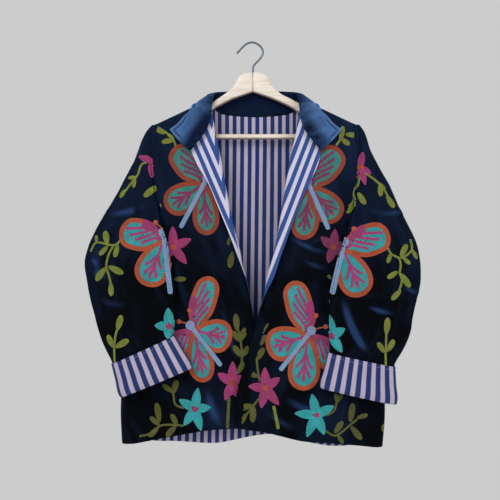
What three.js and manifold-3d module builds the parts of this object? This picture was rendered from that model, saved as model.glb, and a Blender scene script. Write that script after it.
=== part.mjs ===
// Embroidered velvet jacket on a wooden hanger, in millimetres.
// X runs to the wearer's left, Y to the back, Z up.
// The origin is under the top of the hook, where a rail carries it.
import * as THREE from 'three';
import { mergeVertices } from 'three/addons/utils/BufferGeometryUtils.js';
import Module from 'manifold-3d';

const wasm = await Module();
wasm.setup();

// Cloth: a wall of velvet and a wall of lining on either side of one shared surface
const SEAM = 0.3;
const VELVET = [SEAM / 2, 2.0];
const LINING = [-1.3, -SEAM / 2];

// Shoulders: a straight slope from the neck to the sleeve head, laid over the hanger
const NECK_R = 92;
const ARMHOLE_R = 193.5;
const SHOULDER_Z = -70.4;
const SHOULDER_SLOPE = 0.47;
const CROWN = 10;
const SETTLE = 110;

// Body
const UNDERARM_Z = -388;
const FRONT_DEPTH = 23;
const FRONT_SWELL = 3;
const BACK_DEPTH = 17;
const BACK_SWELL = 3;
const SIDE_ROUND = 42;
const ARM_ROUND = 55;
const HEM_R = 258;
const EDGE_UNDER_Z = -420;
const SHIFT_TOP = { x: 6, z: -220 };
const SHIFT_HEM = { x: 0, z: -795 };

// Half width of the body from its middle: armhole above the underarm, side seam below it
const FRONT_WIDTH = [
  { z: -161.3, r: 193.5 },
  { z: -190, r: 195 },
  { z: -215, r: 199 },
  { z: -262, r: 199.5 },
  { z: -317, r: 187 },
  { z: -350, r: 179 },
  { z: -372, r: 184 },
  { z: -388, r: 204 },
  { z: -430, r: 228 },
  { z: -500, r: 246 },
  { z: -600, r: 256 },
  { z: -720, r: 262 },
  { z: -780, r: 261 },
  { z: -805, r: 258 },
];
// The back's armhole is cut less deep than the front's: it keeps this width down to its scoop
const BACK_ARMHOLE = { r: 188, scoop: 16, scoopZ: -330 };
const BACK_WIDTH = FRONT_WIDTH.map(({ z, r }) => {
  const { r: least, scoop, scoopZ } = BACK_ARMHOLE;
  const armhole = least + scoop * smooth((scoopZ - z) / (scoopZ - UNDERARM_Z));
  return { z, r: z > UNDERARM_Z ? Math.max(r, armhole) : r };
});

// Front edges: where the edge or the roll of the lapel runs, how wide the lapel lies, how far it turns
const RIGHT_EDGE = [
  { z: -116.5, x: -92, lapel: 4, turn: 0.05 },
  { z: -130, x: -89, lapel: 3, turn: 0.95 },
  { z: -142, x: -84, lapel: 3, turn: 2.05 },
  { z: -155, x: -80, lapel: 20, turn: 3.1 },
  { z: -180, x: -75, lapel: 45, turn: 3.24 },
  { z: -212, x: -67, lapel: 54, turn: 3.24 },
  { z: -269, x: -57, lapel: 35, turn: 3.27 },
  { z: -316, x: -48, lapel: 25, turn: 3.27 },
  { z: -370, x: -37, lapel: 14, turn: 3.1 },
  { z: -421, x: -24, lapel: 9, turn: 2.4 },
  { z: -483, x: -10, lapel: 5, turn: 0.6 },
  { z: -549, x: 3, lapel: 4, turn: 0.1 },
  { z: -615, x: 14, lapel: 4, turn: 0.05 },
  { z: -666, x: 25, lapel: 4, turn: 0.05 },
  { z: -764, x: 36, lapel: 4, turn: 0.05 },
];
const LEFT_EDGE = [
  { z: -116.5, x: 104, lapel: 4, turn: 0.05 },
  { z: -130, x: 101, lapel: 3, turn: 0.95 },
  { z: -142, x: 96, lapel: 3, turn: 2.05 },
  { z: -157, x: 92, lapel: 21, turn: 3.1 },
  { z: -184, x: 86, lapel: 46, turn: 3.24 },
  { z: -226, x: 76, lapel: 56, turn: 3.24 },
  { z: -312, x: 61, lapel: 36, turn: 3.27 },
  { z: -346, x: 56, lapel: 29, turn: 3.27 },
  { z: -412, x: 44, lapel: 17, turn: 3.2 },
  { z: -463, x: 30, lapel: 13, turn: 2.8 },
  { z: -515, x: 17, lapel: 6, turn: 1.2 },
  { z: -557, x: 6, lapel: 4, turn: 0.5 },
  { z: -609, x: -8, lapel: 4, turn: 0.3 },
  { z: -659, x: -23, lapel: 4, turn: 0.2 },
  { z: -699, x: -33, lapel: 4, turn: 0.2 },
  { z: -758, x: -41, lapel: 4, turn: 0.2 },
];
const ROLL_LENGTH = 15.4;
const OVERLAP = { depth: 7, full: 50, none: 125, top: -430, deep: -530 };

// Hem lines, by X
const RIGHT_HEM = [
  { x: -HEM_R, z: -797 },
  { x: -200, z: -787 },
  { x: -135, z: -774 },
  { x: -48, z: -763 },
  { x: 36, z: -762 },
];
const LEFT_HEM = [
  { x: -41, z: -758 },
  { x: 22, z: -768 },
  { x: 77, z: -780 },
  { x: 110, z: -790 },
  { x: 188, z: -795 },
  { x: HEM_R, z: -803 },
];
const BACK_HEM = [
  { x: -HEM_R, z: -797 },
  { x: -178, z: -799 },
  { x: -82, z: -804 },
  { x: -25, z: -796 },
  { x: 31, z: -786 },
  { x: 77, z: -792 },
  { x: 113, z: -803 },
  { x: 160, z: -809 },
  { x: HEM_R, z: -803 },
];
const BACK_NECK = [
  { r: 0, z: -143.5 },
  { r: 45, z: -141.5 },
  { r: 70, z: -137 },
  { r: 82, z: -131 },
  { r: 88, z: -123 },
  { r: 92, z: -113.6 },
];

// Soft folds that deepen toward the hem: middle, width, depth and where each begins
const FRONT_FOLDS = [
  { x: -205, width: 20, depth: 4, top: -470 },
  { x: -120, width: 26, depth: 5, top: -560 },
  { x: 70, width: 18, depth: 4, top: -560 },
  { x: 150, width: 28, depth: 5, top: -600 },
  { x: 222, width: 16, depth: 4, top: -520 },
];
const BACK_FOLDS = [
  { x: -190, width: 26, depth: 5, top: -430 },
  { x: -70, width: 30, depth: 4, top: -520 },
  { x: 60, width: 26, depth: 5, top: -480 },
  { x: 175, width: 30, depth: 5, top: -440 },
];

// Sleeves: rings from the armhole to the fold of the cuff, seen from the front.
// Each has its outer and inner end, how far these lie in front of the hanger, and its half depths.
const RIGHT_SLEEVE = [
  { ox: -203, oz: -166, ix: -196, iz: -374, oy: 0, iy: 12, ob: 16, ib: 12 },
  { ox: -211, oz: -177, ix: -184, iz: -372, oy: 1, iy: 30, ob: 17, ib: 9 },
  { ox: -229, oz: -220, ix: -173, iz: -386, oy: 5, iy: 38, ob: 17, ib: 8 },
  { ox: -248, oz: -260, ix: -167, iz: -404, oy: 11, iy: 40, ob: 16, ib: 9 },
  { ox: -265, oz: -299, ix: -163, iz: -422, oy: 17, iy: 41, ob: 15, ib: 10 },
  { ox: -302, oz: -368, ix: -157, iz: -446, oy: 28, iy: 42, ob: 14, ib: 11 },
  { ox: -326, oz: -429, ix: -152, iz: -476, oy: 36, iy: 42.5, ob: 13, ib: 12 },
  { ox: -317, oz: -490, ix: -149, iz: -502, oy: 40, iy: 43, ob: 13, ib: 12 },
  { ox: -305, oz: -540, ix: -149, iz: -530, oy: 42, iy: 43, ob: 13, ib: 12 },
  { ox: -289, oz: -590, ix: -150, iz: -556, oy: 43, iy: 43.5, ob: 12, ib: 11 },
  { ox: -270, oz: -631.5, ix: -152.5, iz: -578, oy: 44, iy: 44, ob: 11, ib: 11 },
  { ox: -254.5, oz: -693, ix: -118.5, iz: -636.5, oy: 44, iy: 44, ob: 10.5, ib: 10.5 },
];
const LEFT_SLEEVE = [
  { ox: 215, oz: -165, ix: 208, iz: -374, oy: 0, iy: 12, ob: 16, ib: 12 },
  { ox: 222, oz: -177, ix: 196, iz: -372, oy: 1, iy: 30, ob: 17, ib: 9 },
  { ox: 232, oz: -210, ix: 185, iz: -386, oy: 4, iy: 38, ob: 17, ib: 8 },
  { ox: 248, oz: -243, ix: 177, iz: -404, oy: 10, iy: 40, ob: 16, ib: 9 },
  { ox: 266, oz: -279, ix: 171, iz: -420, oy: 16, iy: 41, ob: 15, ib: 10 },
  { ox: 295, oz: -347, ix: 162, iz: -446, oy: 27, iy: 42, ob: 14, ib: 11 },
  { ox: 319, oz: -400, ix: 156, iz: -470, oy: 35, iy: 42.5, ob: 13, ib: 12 },
  { ox: 326, oz: -462, ix: 150, iz: -500, oy: 40, iy: 43, ob: 13, ib: 12 },
  { ox: 314, oz: -520, ix: 149, iz: -535, oy: 42, iy: 43, ob: 13, ib: 12 },
  { ox: 297, oz: -592, ix: 148, iz: -578, oy: 43, iy: 43.5, ob: 12, ib: 11 },
  { ox: 272.5, oz: -637, ix: 148, iz: -610, oy: 44, iy: 44, ob: 11, ib: 11 },
  { ox: 276, oz: -707, ix: 132, iz: -674.5, oy: 44, iy: 44, ob: 10.5, ib: 10.5 },
];
const SLEEVE_WALL = 2;
const SLEEVE_SEAM = 0.4;
const SLEEVE_LEAD = 3.5;
const SLEEVE_FLATNESS = 0.75;
const CUFF_WALL = 2.2;
const CUFF_CLEAR = 0.5;
const CUFF_INSIDE = 30;

// Collar, half of it from the front end to the middle of the back.
// r is measured from the middle; n is the neck seam, f the fold and e the free edge.
const COLLAR = [
  { fr: 125.5, fy: -34.5, fz: -220, nr: 129.5, ny: -31, nz: -214, er: 169, ey: -18.5, ez: -176 },
  { fr: 97.5, fy: -35.5, fz: -184, nr: 103, ny: -32, nz: -178, er: 152, ey: -18, ez: -162.5 },
  { fr: 87, fy: -34, fz: -157, nr: 98, ny: -31, nz: -154, er: 139.5, ey: -15.5, ez: -147.5 },
  { fr: 85, fy: -24, fz: -135, nr: 96, ny: -24, nz: -133, er: 129.5, ey: -13.5, ez: -138 },
  { fr: 84, fy: -17, fz: -114, nr: 96, ny: -13, nz: -117, er: 126, ey: -6, ez: -126.5 },
  { fr: 84, fy: -3, fz: -101.5, nr: 94, ny: 0, nz: -110, er: 121.5, ey: 5, ez: -123.5 },
  { fr: 76, fy: 8.5, fz: -96.5, nr: 87, ny: 12.5, nz: -123, er: 106, ey: 20, ez: -138 },
  { fr: 58, fy: 14.5, fz: -93, nr: 64, ny: 15.2, nz: -134.5, er: 72, ey: 22, ez: -154 },
  { fr: 29, fy: 16, fz: -92.5, nr: 30, ny: 17, nz: -139.8, er: 35, ey: 24, ez: -156 },
  { fr: 0, fy: 16.5, fz: -92.5, nr: 0, ny: 17.5, nz: -141.3, er: 0, ey: 24.5, ez: -157 },
];
const COLLAR_WALL = 2.4;
const COLLAR_FOLD = 2.6;
const COLLAR_SHIFT = 6;
const COLLAR_CLEAR = 4.6;
const COLLAR_STATIONS = 33;
const COLLAR_SWELL = 3;
const COLLAR_RESTS_FROM = 80;
const FOLD_ANGLES = [0, 60, 120, 180];
const LAPEL_LIFT = { height: 13, top: -106, full: -136, inner: 120, outer: 134 };

// Hanger
const ARM_THICK = 13;
const ARM_EDGE = 3.5;
const ARM_POINTS = { top: 22, under: 20 };
const GLUE_X = 0.5;
const ROUND_SIDES = 16;
const BAR = { z: -186.6, radius: 5.4, left: -183, right: 191, bore: 5.7 };
const HOOK_WIRE = 2;
const HOOK_X = 0.8;
const HOOK_BORE = { radius: 2.3, bottom: -73 };
const HOOK_STEPS = { along: 36, quarter: 5 };
const LEFT_ARM_TOP = [
  { x: 16, z: -60.5 },
  { x: 28, z: -65.5 },
  { x: 32, z: -72 },
  { x: 37, z: -83 },
  { x: 45, z: -92 },
  { x: 58, z: -102.5 },
  { x: 75, z: -110.5 },
  { x: 93, z: -119.8 },
  { x: 120, z: -127.2 },
  { x: 160, z: -146 },
  { x: 196, z: -163 },
  { x: 203, z: -171 },
];
const LEFT_ARM_UNDER = [
  { x: 204, z: -182 },
  { x: 200, z: -192 },
  { x: 190, z: -196 },
  { x: 180, z: -194 },
  { x: 172, z: -185 },
  { x: 160, z: -173 },
  { x: 125, z: -154 },
  { x: 95, z: -140 },
  { x: 75, z: -127.5 },
  { x: 40, z: -111.5 },
];
const RIGHT_ARM_TOP = [
  { x: -16, z: -60.5 },
  { x: -27, z: -65.5 },
  { x: -31, z: -73 },
  { x: -36, z: -83 },
  { x: -44, z: -92 },
  { x: -53, z: -100 },
  { x: -75, z: -115 },
  { x: -90, z: -125.2 },
  { x: -120, z: -132.8 },
  { x: -160, z: -151.6 },
  { x: -186, z: -163.8 },
  { x: -193, z: -171 },
];
const RIGHT_ARM_UNDER = [
  { x: -194, z: -183 },
  { x: -190, z: -192 },
  { x: -182, z: -196 },
  { x: -172, z: -194 },
  { x: -165, z: -187 },
  { x: -152, z: -174 },
  { x: -120, z: -155 },
  { x: -88, z: -141 },
  { x: -75, z: -130 },
  { x: -40, z: -112 },
];
const ARM_DOME_Z = -59;
const ARM_APEX_Z = -97.4;
const HOOK_PATH = [
  { x: HOOK_X, z: -72 },
  { x: HOOK_X, z: -56 },
  { x: 2, z: -45.4 },
  { x: 6.6, z: -39.4 },
  { x: 13.8, z: -32.2 },
  { x: 18.8, z: -25 },
  { x: 21, z: -16.8 },
  { x: 18.8, z: -9.5 },
  { x: 11.8, z: -2.2 },
  { x: 4, z: 1.4 },
  { x: -3.6, z: 2 },
  { x: -11.8, z: -0.8 },
  { x: -21, z: -8.8 },
  { x: -31.2, z: -20 },
];

// How finely the cloth is divided
const TOP_STEPS = [0, 1.5, 5, 11, 26];
const UPPER_ROWS = 6;
const LOWER_ROWS = 7;
const ROUND_COLUMNS = 4;
const FLAT_COLUMNS = 4;
const ROLL_COLUMNS = 6;
const BACK_COLUMNS = [1 / 3, 2 / 3];
const NECK_COLUMNS = [1, 0.93, 0.8, 0.55, 0.28, 0];
const UNDER_ROW = TOP_STEPS.length - 1 + UPPER_ROWS;

function smooth(t) {
  const s = Math.min(1, Math.max(0, t));
  return s * s * (3 - 2 * s);
}

function ease(t) {
  const s = Math.min(1, Math.max(0, t));
  return 1 - (1 - s) ** 2;
}

function quarter(t) {
  const s = 1 - Math.min(1, Math.max(0, t));
  return Math.sqrt(1 - s * s);
}

// A smooth curve through one column of a table, read at a value of its key
function read(table, key, at, field) {
  const rows = [...table].sort((a, b) => a[key] - b[key]);
  const last = rows.length - 1;
  const value = Math.min(rows[last][key], Math.max(rows[0][key], at));
  let i = rows.findIndex((row) => row[key] >= value);
  i = Math.max(1, i);
  const slope = (n) => {
    const a = rows[Math.max(0, n - 1)];
    const b = rows[Math.min(last, n + 1)];
    return (b[field] - a[field]) / (b[key] - a[key]);
  };
  const [a, b] = [rows[i - 1], rows[i]];
  const span = b[key] - a[key];
  const t = (value - a[key]) / span;
  const tt = t * t;
  const ttt = tt * t;
  return (
    (2 * ttt - 3 * tt + 1) * a[field] +
    (ttt - 2 * tt + t) * span * slope(i - 1) +
    (3 * tt - 2 * ttt) * b[field] +
    (ttt - tt) * span * slope(i)
  );
}

function middle(z) {
  const t = (z - SHIFT_HEM.z) / (SHIFT_TOP.z - SHIFT_HEM.z);
  return THREE.MathUtils.lerp(SHIFT_HEM.x, SHIFT_TOP.x, Math.min(1, Math.max(0, t)));
}

function shoulderZ(r) {
  return SHOULDER_Z - SHOULDER_SLOPE * r;
}

function folds(table, x, z) {
  return table.reduce((sum, fold) => {
    const across = Math.exp(-(((x - fold.x) / fold.width) ** 2));
    return sum + fold.depth * across * smooth((fold.top - z) / (fold.top - SHIFT_HEM.z));
  }, 0);
}

// How far a panel lies from the plane of the hanger
function panelDepth(base, swell, table, x, z, width) {
  const r = Math.abs(x - middle(z));
  const full = base + swell * (1 - (r / width) ** 2);
  const below = Math.max(0, shoulderZ(r) - z);
  const crown =
    below < CROWN
      ? Math.sqrt(CROWN ** 2 - (CROWN - below) ** 2)
      : CROWN + (full - CROWN) * ease((below - CROWN) / SETTLE);
  const inward = quarter((width - r) / SIDE_ROUND);
  const upward = quarter((z - UNDERARM_Z) / ARM_ROUND);
  return SEAM / 2 + (crown - folds(table, x, z)) * (1 - (1 - inward) * (1 - upward));
}

function overlap(x, z) {
  const across = smooth((OVERLAP.none - x) / (OVERLAP.none - OVERLAP.full));
  return OVERLAP.depth * across * smooth((OVERLAP.top - z) / (OVERLAP.top - OVERLAP.deep));
}

// Heights of the rows of a panel between its top, the level of the underarm and the hem
function rowHeights(top, under, hem) {
  const heights = TOP_STEPS.map((step) => top - step);
  const start = heights[heights.length - 1];
  for (let i = 1; i <= UPPER_ROWS; i++) heights.push(start + ((under - start) * i) / UPPER_ROWS);
  for (let i = 1; i <= LOWER_ROWS; i++) heights.push(under + ((hem - under) * i) / LOWER_ROWS);
  return heights;
}

// How far the rounded columns next to a side seam lie from it
function roundInsets() {
  const parts = [...Array(ROUND_COLUMNS + 1).keys()].map((i) => i / ROUND_COLUMNS);
  return parts.map((part) => SIDE_ROUND * (1 - Math.cos((Math.PI / 2) * part)));
}

// The section of a rolled front edge: steps along the panel and out from it
function rollSection(lapel, turn) {
  const points = [{ along: 0, out: 0 }];
  const radius = ROLL_LENGTH / turn;
  for (let i = 1; i <= ROLL_COLUMNS; i++) {
    const angle = (turn * i) / ROLL_COLUMNS;
    points.push({ along: radius * Math.sin(angle), out: radius * (1 - Math.cos(angle)) });
  }
  const end = points[ROLL_COLUMNS];
  const reach = Math.max(...points.map((point) => point.along));
  const flat = Math.max(2, lapel - (reach - end.along));
  for (const part of [0.5, 1]) {
    points.push({
      along: end.along + flat * part * Math.cos(turn),
      out: end.out + flat * part * Math.sin(turn),
    });
  }
  const length = Math.max(...points.map((point) => point.along));
  return points.map(({ along, out }) => ({ along: along - length, out }));
}

// One front as a grid of points, from the side seam and armhole to the free edge
function frontGrid(side, edge, hem, over) {
  const last = edge[edge.length - 1];
  const sideHem = read(hem, 'x', side * HEM_R, 'z');
  const sides = rowHeights(shoulderZ(ARMHOLE_R), UNDERARM_Z, sideHem);
  const edges = rowHeights(edge[0].z, EDGE_UNDER_Z, last.z);
  return sides.map((sideZ, row) => {
    const edgeZ = edges[row];
    const width = read(FRONT_WIDTH, 'z', sideZ, 'r');
    const start = new THREE.Vector2(middle(sideZ) + side * width, sideZ);
    const end = new THREE.Vector2(read(edge, 'z', edgeZ, 'x'), edgeZ);
    const length = end.distanceTo(start);
    const along = end.clone().sub(start).normalize();
    const section = rollSection(read(edge, 'z', edgeZ, 'lapel'), read(edge, 'z', edgeZ, 'turn'));
    const flat = length + section[0].along;
    const toHem = Math.max(0, (row - UNDER_ROW) / LOWER_ROWS) ** 2;
    const place = (distance) => {
      const x = start.x + along.x * distance;
      const line = start.y + along.y * distance;
      const straight = THREE.MathUtils.lerp(sideHem, last.z, Math.min(1, distance / length));
      const z = line + (read(hem, 'x', x, 'z') - straight) * toHem;
      const half = Math.abs(x - middle(z)) + Math.min(distance, SIDE_ROUND) * Math.abs(along.x);
      const depth = panelDepth(FRONT_DEPTH, FRONT_SWELL, FRONT_FOLDS, x, z, half);
      return new THREE.Vector3(x, -depth - (over ? overlap(x, z) : 0), z);
    };
    const points = roundInsets().map(place);
    for (let i = 1; i < FLAT_COLUMNS; i++) {
      points.push(place(THREE.MathUtils.lerp(SIDE_ROUND, flat, i / FLAT_COLUMNS)));
    }
    const root = place(flat);
    const below = Math.max(0, CROWN - TOP_STEPS[Math.min(row, TOP_STEPS.length - 1)]) / CROWN;
    const out = new THREE.Vector3(0, -Math.sqrt(1 - below ** 2), below);
    for (const step of section) {
      const shift = new THREE.Vector3(along.x, 0, along.y).multiplyScalar(step.along - section[0].along);
      points.push(root.clone().add(shift).addScaledVector(out, step.out));
    }
    return points;
  });
}

// The back as a grid of points, from the right side seam to the left one
function backGrid() {
  const columns = [
    ...roundInsets().map((inset) => ({ inset })),
    ...BACK_COLUMNS.map((between) => ({ between })),
    ...NECK_COLUMNS.map((part) => ({ part })),
  ];
  const half = (column, width) => {
    const neck = (NECK_R * width) / ARMHOLE_R;
    if (column.inset !== undefined) return width - column.inset;
    if (column.between) return THREE.MathUtils.lerp(width - SIDE_ROUND, neck, column.between);
    return neck * column.part;
  };
  const mirrored = [
    ...columns.map((column) => ({ side: -1, column })),
    ...[...columns].reverse().slice(1).map((column) => ({ side: 1, column })),
  ];
  const lines = mirrored.map(({ side, column }) => {
    const topR = half(column, ARMHOLE_R);
    const top = column.part < 1 ? read(BACK_NECK, 'r', topR, 'z') : shoulderZ(topR);
    const hemX = side * half(column, HEM_R);
    return rowHeights(top, UNDERARM_Z, read(BACK_HEM, 'x', hemX, 'z')).map((z) => {
      const width = read(BACK_WIDTH, 'z', z, 'r');
      return { z, width, x: middle(z) + side * half(column, width) };
    });
  });
  return lines[0].map((_, row) =>
    lines.map((line, i) => {
      const { z, x } = line[row];
      const level = lines[mirrored[i].side < 0 ? 0 : lines.length - 1][row];
      const width = Math.max(Math.abs(x - middle(z)), read(BACK_WIDTH, 'z', level.z, 'r'));
      const depth = panelDepth(BACK_DEPTH, BACK_SWELL, BACK_FOLDS, x, z, width);
      return new THREE.Vector3(x, depth, z);
    }),
  );
}

// Normals of a grid; seam rows and columns face straight across their seam
function gridNormals(grid, options = {}) {
  const { closed = false, flip = 1, seamTop = false, seamSides = [], first = null } = options;
  const rows = grid.length;
  const columns = grid[0].length;
  return grid.map((line, i) =>
    line.map((point, j) => {
      if (i === 0 && first) return first[j].clone();
      const down = grid[Math.min(rows - 1, i + 1)][j].clone().sub(grid[Math.max(0, i - 1)][j]);
      const next = closed ? line[(j + 1) % columns] : line[Math.min(columns - 1, j + 1)];
      const prev = closed ? line[(j + columns - 1) % columns] : line[Math.max(0, j - 1)];
      const normal = down.cross(next.clone().sub(prev)).normalize().multiplyScalar(flip);
      const onSide = i >= UNDER_ROW && seamSides.includes(j);
      if ((i === 0 && seamTop) || onSide) normal.setY(0).normalize();
      return normal;
    }),
  );
}

// A closed wall between two offsets of a grid
function wall(grid, normals, [near, far], closed = false) {
  const rows = grid.length;
  const columns = grid[0].length;
  const positions = [];
  for (const offset of [far, near]) {
    grid.forEach((line, i) =>
      line.forEach((point, j) => {
        positions.push(...point.clone().addScaledVector(normals[i][j], offset).toArray());
      }),
    );
  }
  const at = (layer, i, j) => layer * rows * columns + i * columns + (j % columns);
  const faces = [];
  const quad = (a, b, c, d) => faces.push(a, b, c, a, c, d);
  const spans = closed ? columns : columns - 1;
  for (let i = 0; i < rows - 1; i++) {
    for (let j = 0; j < spans; j++) {
      quad(at(0, i, j), at(0, i + 1, j), at(0, i + 1, j + 1), at(0, i, j + 1));
      quad(at(1, i, j), at(1, i, j + 1), at(1, i + 1, j + 1), at(1, i + 1, j));
    }
  }
  for (let j = 0; j < spans; j++) {
    quad(at(0, 0, j), at(0, 0, j + 1), at(1, 0, j + 1), at(1, 0, j));
    quad(at(0, rows - 1, j), at(1, rows - 1, j), at(1, rows - 1, j + 1), at(0, rows - 1, j + 1));
  }
  if (!closed) {
    for (let i = 0; i < rows - 1; i++) {
      const end = columns - 1;
      quad(at(0, i, 0), at(1, i, 0), at(1, i + 1, 0), at(0, i + 1, 0));
      quad(at(0, i, end), at(0, i + 1, end), at(1, i + 1, end), at(1, i, end));
    }
  }
  return solid(positions, faces);
}

// A geometry with its faces turned outward
function solid(positions, faces) {
  const geometry = new THREE.BufferGeometry();
  geometry.setAttribute('position', new THREE.Float32BufferAttribute(positions, 3));
  let volume = 0;
  const corner = (n) => new THREE.Vector3().fromArray(positions, 3 * n);
  for (let i = 0; i < faces.length; i += 3) {
    volume += corner(faces[i]).dot(corner(faces[i + 1]).cross(corner(faces[i + 2])));
  }
  if (volume < 0) {
    for (let i = 0; i < faces.length; i += 3) [faces[i], faces[i + 1]] = [faces[i + 1], faces[i]];
  }
  geometry.setIndex(faces);
  geometry.computeVertexNormals();
  return geometry;
}

// The armhole's edge as a loop: from the shoulder down the front, round the underarm and up the back
function armholeLoop(front, frontNormals, back, backNormals, column) {
  const rows = [...Array(UNDER_ROW + 1).keys()];
  const edge = (grid, normals, from) => {
    const inner = from === 0 ? 1 : from - 1;
    return rows.map((i) => ({
      point: grid[i][from].clone(),
      normal: normals[i][from].clone(),
      run: grid[Math.min(UNDER_ROW, i + 1)][from].clone().sub(grid[Math.max(0, i - 1)][from]),
      away: grid[i][from].clone().sub(grid[i][inner]).normalize(),
    }));
  };
  const lead = (items) => {
    const crossed = items.map(({ normal, run }) => normal.clone().cross(run).normalize());
    const mid = Math.floor(items.length / 2);
    const sign = Math.sign(crossed[mid].dot(items[mid].away));
    return items.map((item, i) => ({ ...item, lead: crossed[i].multiplyScalar(sign) }));
  };
  const frontEdge = lead(edge(front, frontNormals, 0));
  const backEdge = lead(edge(back, backNormals, column));
  const join = (a, b) => ({
    point: a.point.clone().add(b.point).multiplyScalar(0.5),
    normal: a.normal.clone().add(b.normal).normalize(),
    lead: a.lead.clone().add(b.lead).normalize(),
  });
  return [
    join(frontEdge[0], backEdge[0]),
    ...frontEdge.slice(1, UNDER_ROW),
    join(frontEdge[UNDER_ROW], backEdge[UNDER_ROW]),
    ...backEdge.slice(1, UNDER_ROW).reverse(),
  ];
}

// One ring of a sleeve: a flattened oval between its outer and inner end
function sleeveRing(ring, count) {
  const outer = new THREE.Vector3(ring.ox, -ring.oy, ring.oz);
  const inner = new THREE.Vector3(ring.ix, -ring.iy, ring.iz);
  const centre = outer.clone().add(inner).multiplyScalar(0.5);
  const across = outer.clone().sub(inner);
  const half = across.length() / 2 - SLEEVE_WALL;
  across.normalize();
  const points = [];
  for (let i = 0; i < count; i++) {
    const angle = (2 * Math.PI * i) / count;
    const c = Math.cos(angle);
    const s = Math.sin(angle);
    const thick = THREE.MathUtils.lerp(ring.ib, ring.ob, (1 + c) / 2);
    const point = centre.clone().addScaledVector(across, half * c);
    point.y -= thick * Math.sign(s) * Math.abs(s) ** SLEEVE_FLATNESS;
    points.push(point);
  }
  return points;
}

function sleeveGrid(loop, table) {
  const first = loop.map(({ point, lead }) => point.clone().addScaledVector(lead, SLEEVE_SEAM));
  const second = loop.map(({ point, lead }) => point.clone().addScaledVector(lead, SLEEVE_LEAD));
  return [first, second, ...table.map((ring) => sleeveRing(ring, loop.length))];
}

// The turned-back end of a sleeve: down its outside, round the fold and up a little inside
function cuffGrid(sleeve, normals) {
  const end = sleeve.length - 1;
  const outside = SLEEVE_WALL + CUFF_CLEAR + CUFF_WALL / 2;
  const inside = -CUFF_CLEAR - CUFF_WALL / 2;
  const radius = (outside - inside) / 2;
  const steps = [
    { back: 1, out: outside },
    { back: 0.5, out: outside },
    { back: 0, out: outside },
    { angle: Math.PI / 4 },
    { angle: Math.PI / 2 },
    { angle: (3 * Math.PI) / 4 },
    { back: 0, out: inside },
    { inner: CUFF_INSIDE, out: inside },
  ];
  return steps.map((step) =>
    sleeve[end].map((point, j) => {
      const top = sleeve[end - 1][j];
      const down = point.clone().sub(top);
      const length = down.length();
      down.normalize();
      const normal = normals[end][j].clone();
      normal.addScaledVector(down, -normal.dot(down)).normalize();
      const base = point.clone().addScaledVector(down, CUFF_CLEAR);
      if (step.angle) {
        const centre = base.addScaledVector(normal, (outside + inside) / 2);
        return centre
          .addScaledVector(normal, radius * Math.cos(step.angle))
          .addScaledVector(down, radius * Math.sin(step.angle));
      }
      const rise = step.inner ?? length * step.back;
      return base.addScaledVector(down, -rise).addScaledVector(normal, step.out);
    }),
  );
}

// Moves a point of the collar out until it lies clear of the shoulder
function restOnShoulder(point) {
  const r = Math.abs(point.x - COLLAR_SHIFT);
  if (r < COLLAR_RESTS_FROM) return point;
  const centre = shoulderZ(r) - CROWN;
  const fore = point.y < 0;
  if (point.z > centre) {
    const slant = Math.sqrt(1 + SHOULDER_SLOPE ** 2);
    const rise = (point.z - centre) / slant;
    const reach = Math.hypot(point.y, rise);
    const grow = Math.max(1, (CROWN + COLLAR_CLEAR) / reach);
    point.y *= grow;
    point.z = centre + rise * grow * slant;
    return point;
  }
  const base = fore ? FRONT_DEPTH : BACK_DEPTH;
  const cloth = panelDepth(base, FRONT_SWELL, [], point.x, point.z, ARMHOLE_R + SIDE_ROUND);
  const least = cloth + COLLAR_CLEAR;
  const { height, top, full, inner, outer } = LAPEL_LIFT;
  const lapel = height * smooth((top - point.z) / (top - full)) * smooth((outer - r) / (outer - inner));
  point.y = fore ? Math.min(point.y, -least - lapel) : Math.max(point.y, least);
  return point;
}

// The collar: a hairpin section of stand and fall along the neck
function collarGrid() {
  const mirror = (side) => (row) => ({
    fold: new THREE.Vector3(COLLAR_SHIFT + side * row.fr, row.fy, row.fz),
    neck: new THREE.Vector3(COLLAR_SHIFT + side * row.nr, row.ny, row.nz),
    edge: new THREE.Vector3(COLLAR_SHIFT + side * row.er, row.ey, row.ez),
  });
  const stations = [...COLLAR.map(mirror(-1)), ...COLLAR.slice(0, -1).reverse().map(mirror(1))];
  const curves = ['fold', 'neck', 'edge'].map(
    (name) => new THREE.CatmullRomCurve3(stations.map((station) => station[name])),
  );
  return [...Array(COLLAR_STATIONS).keys()].map((i) => {
    const at = i / (COLLAR_STATIONS - 1);
    const [fold, neck, edge] = curves.map((curve) => curve.getPoint(at));
    restOnShoulder(neck);
    restOnShoulder(edge);
    const up = fold.clone().sub(neck.clone().add(edge).multiplyScalar(0.5)).normalize();
    const out = edge.clone().sub(neck);
    out.addScaledVector(up, -out.dot(up)).normalize();
    const centre = fold.clone().addScaledVector(up, -COLLAR_FOLD);
    const around = (degrees) => {
      const angle = THREE.MathUtils.degToRad(degrees);
      return centre
        .clone()
        .addScaledVector(out, -COLLAR_FOLD * Math.cos(angle))
        .addScaledVector(up, COLLAR_FOLD * Math.sin(angle));
    };
    const bend = FOLD_ANGLES.map(around);
    const fall = [1 / 3, 2 / 3, 1].map((t) => {
      const point = bend[bend.length - 1].clone().lerp(edge, t);
      point.addScaledVector(out, COLLAR_SWELL * Math.sin(Math.PI * t) * (1 - t / 2));
      return restOnShoulder(point);
    });
    return [neck, neck.clone().lerp(bend[0], 0.5), ...bend, ...fall].map(restOnShoulder);
  });
}

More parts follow.
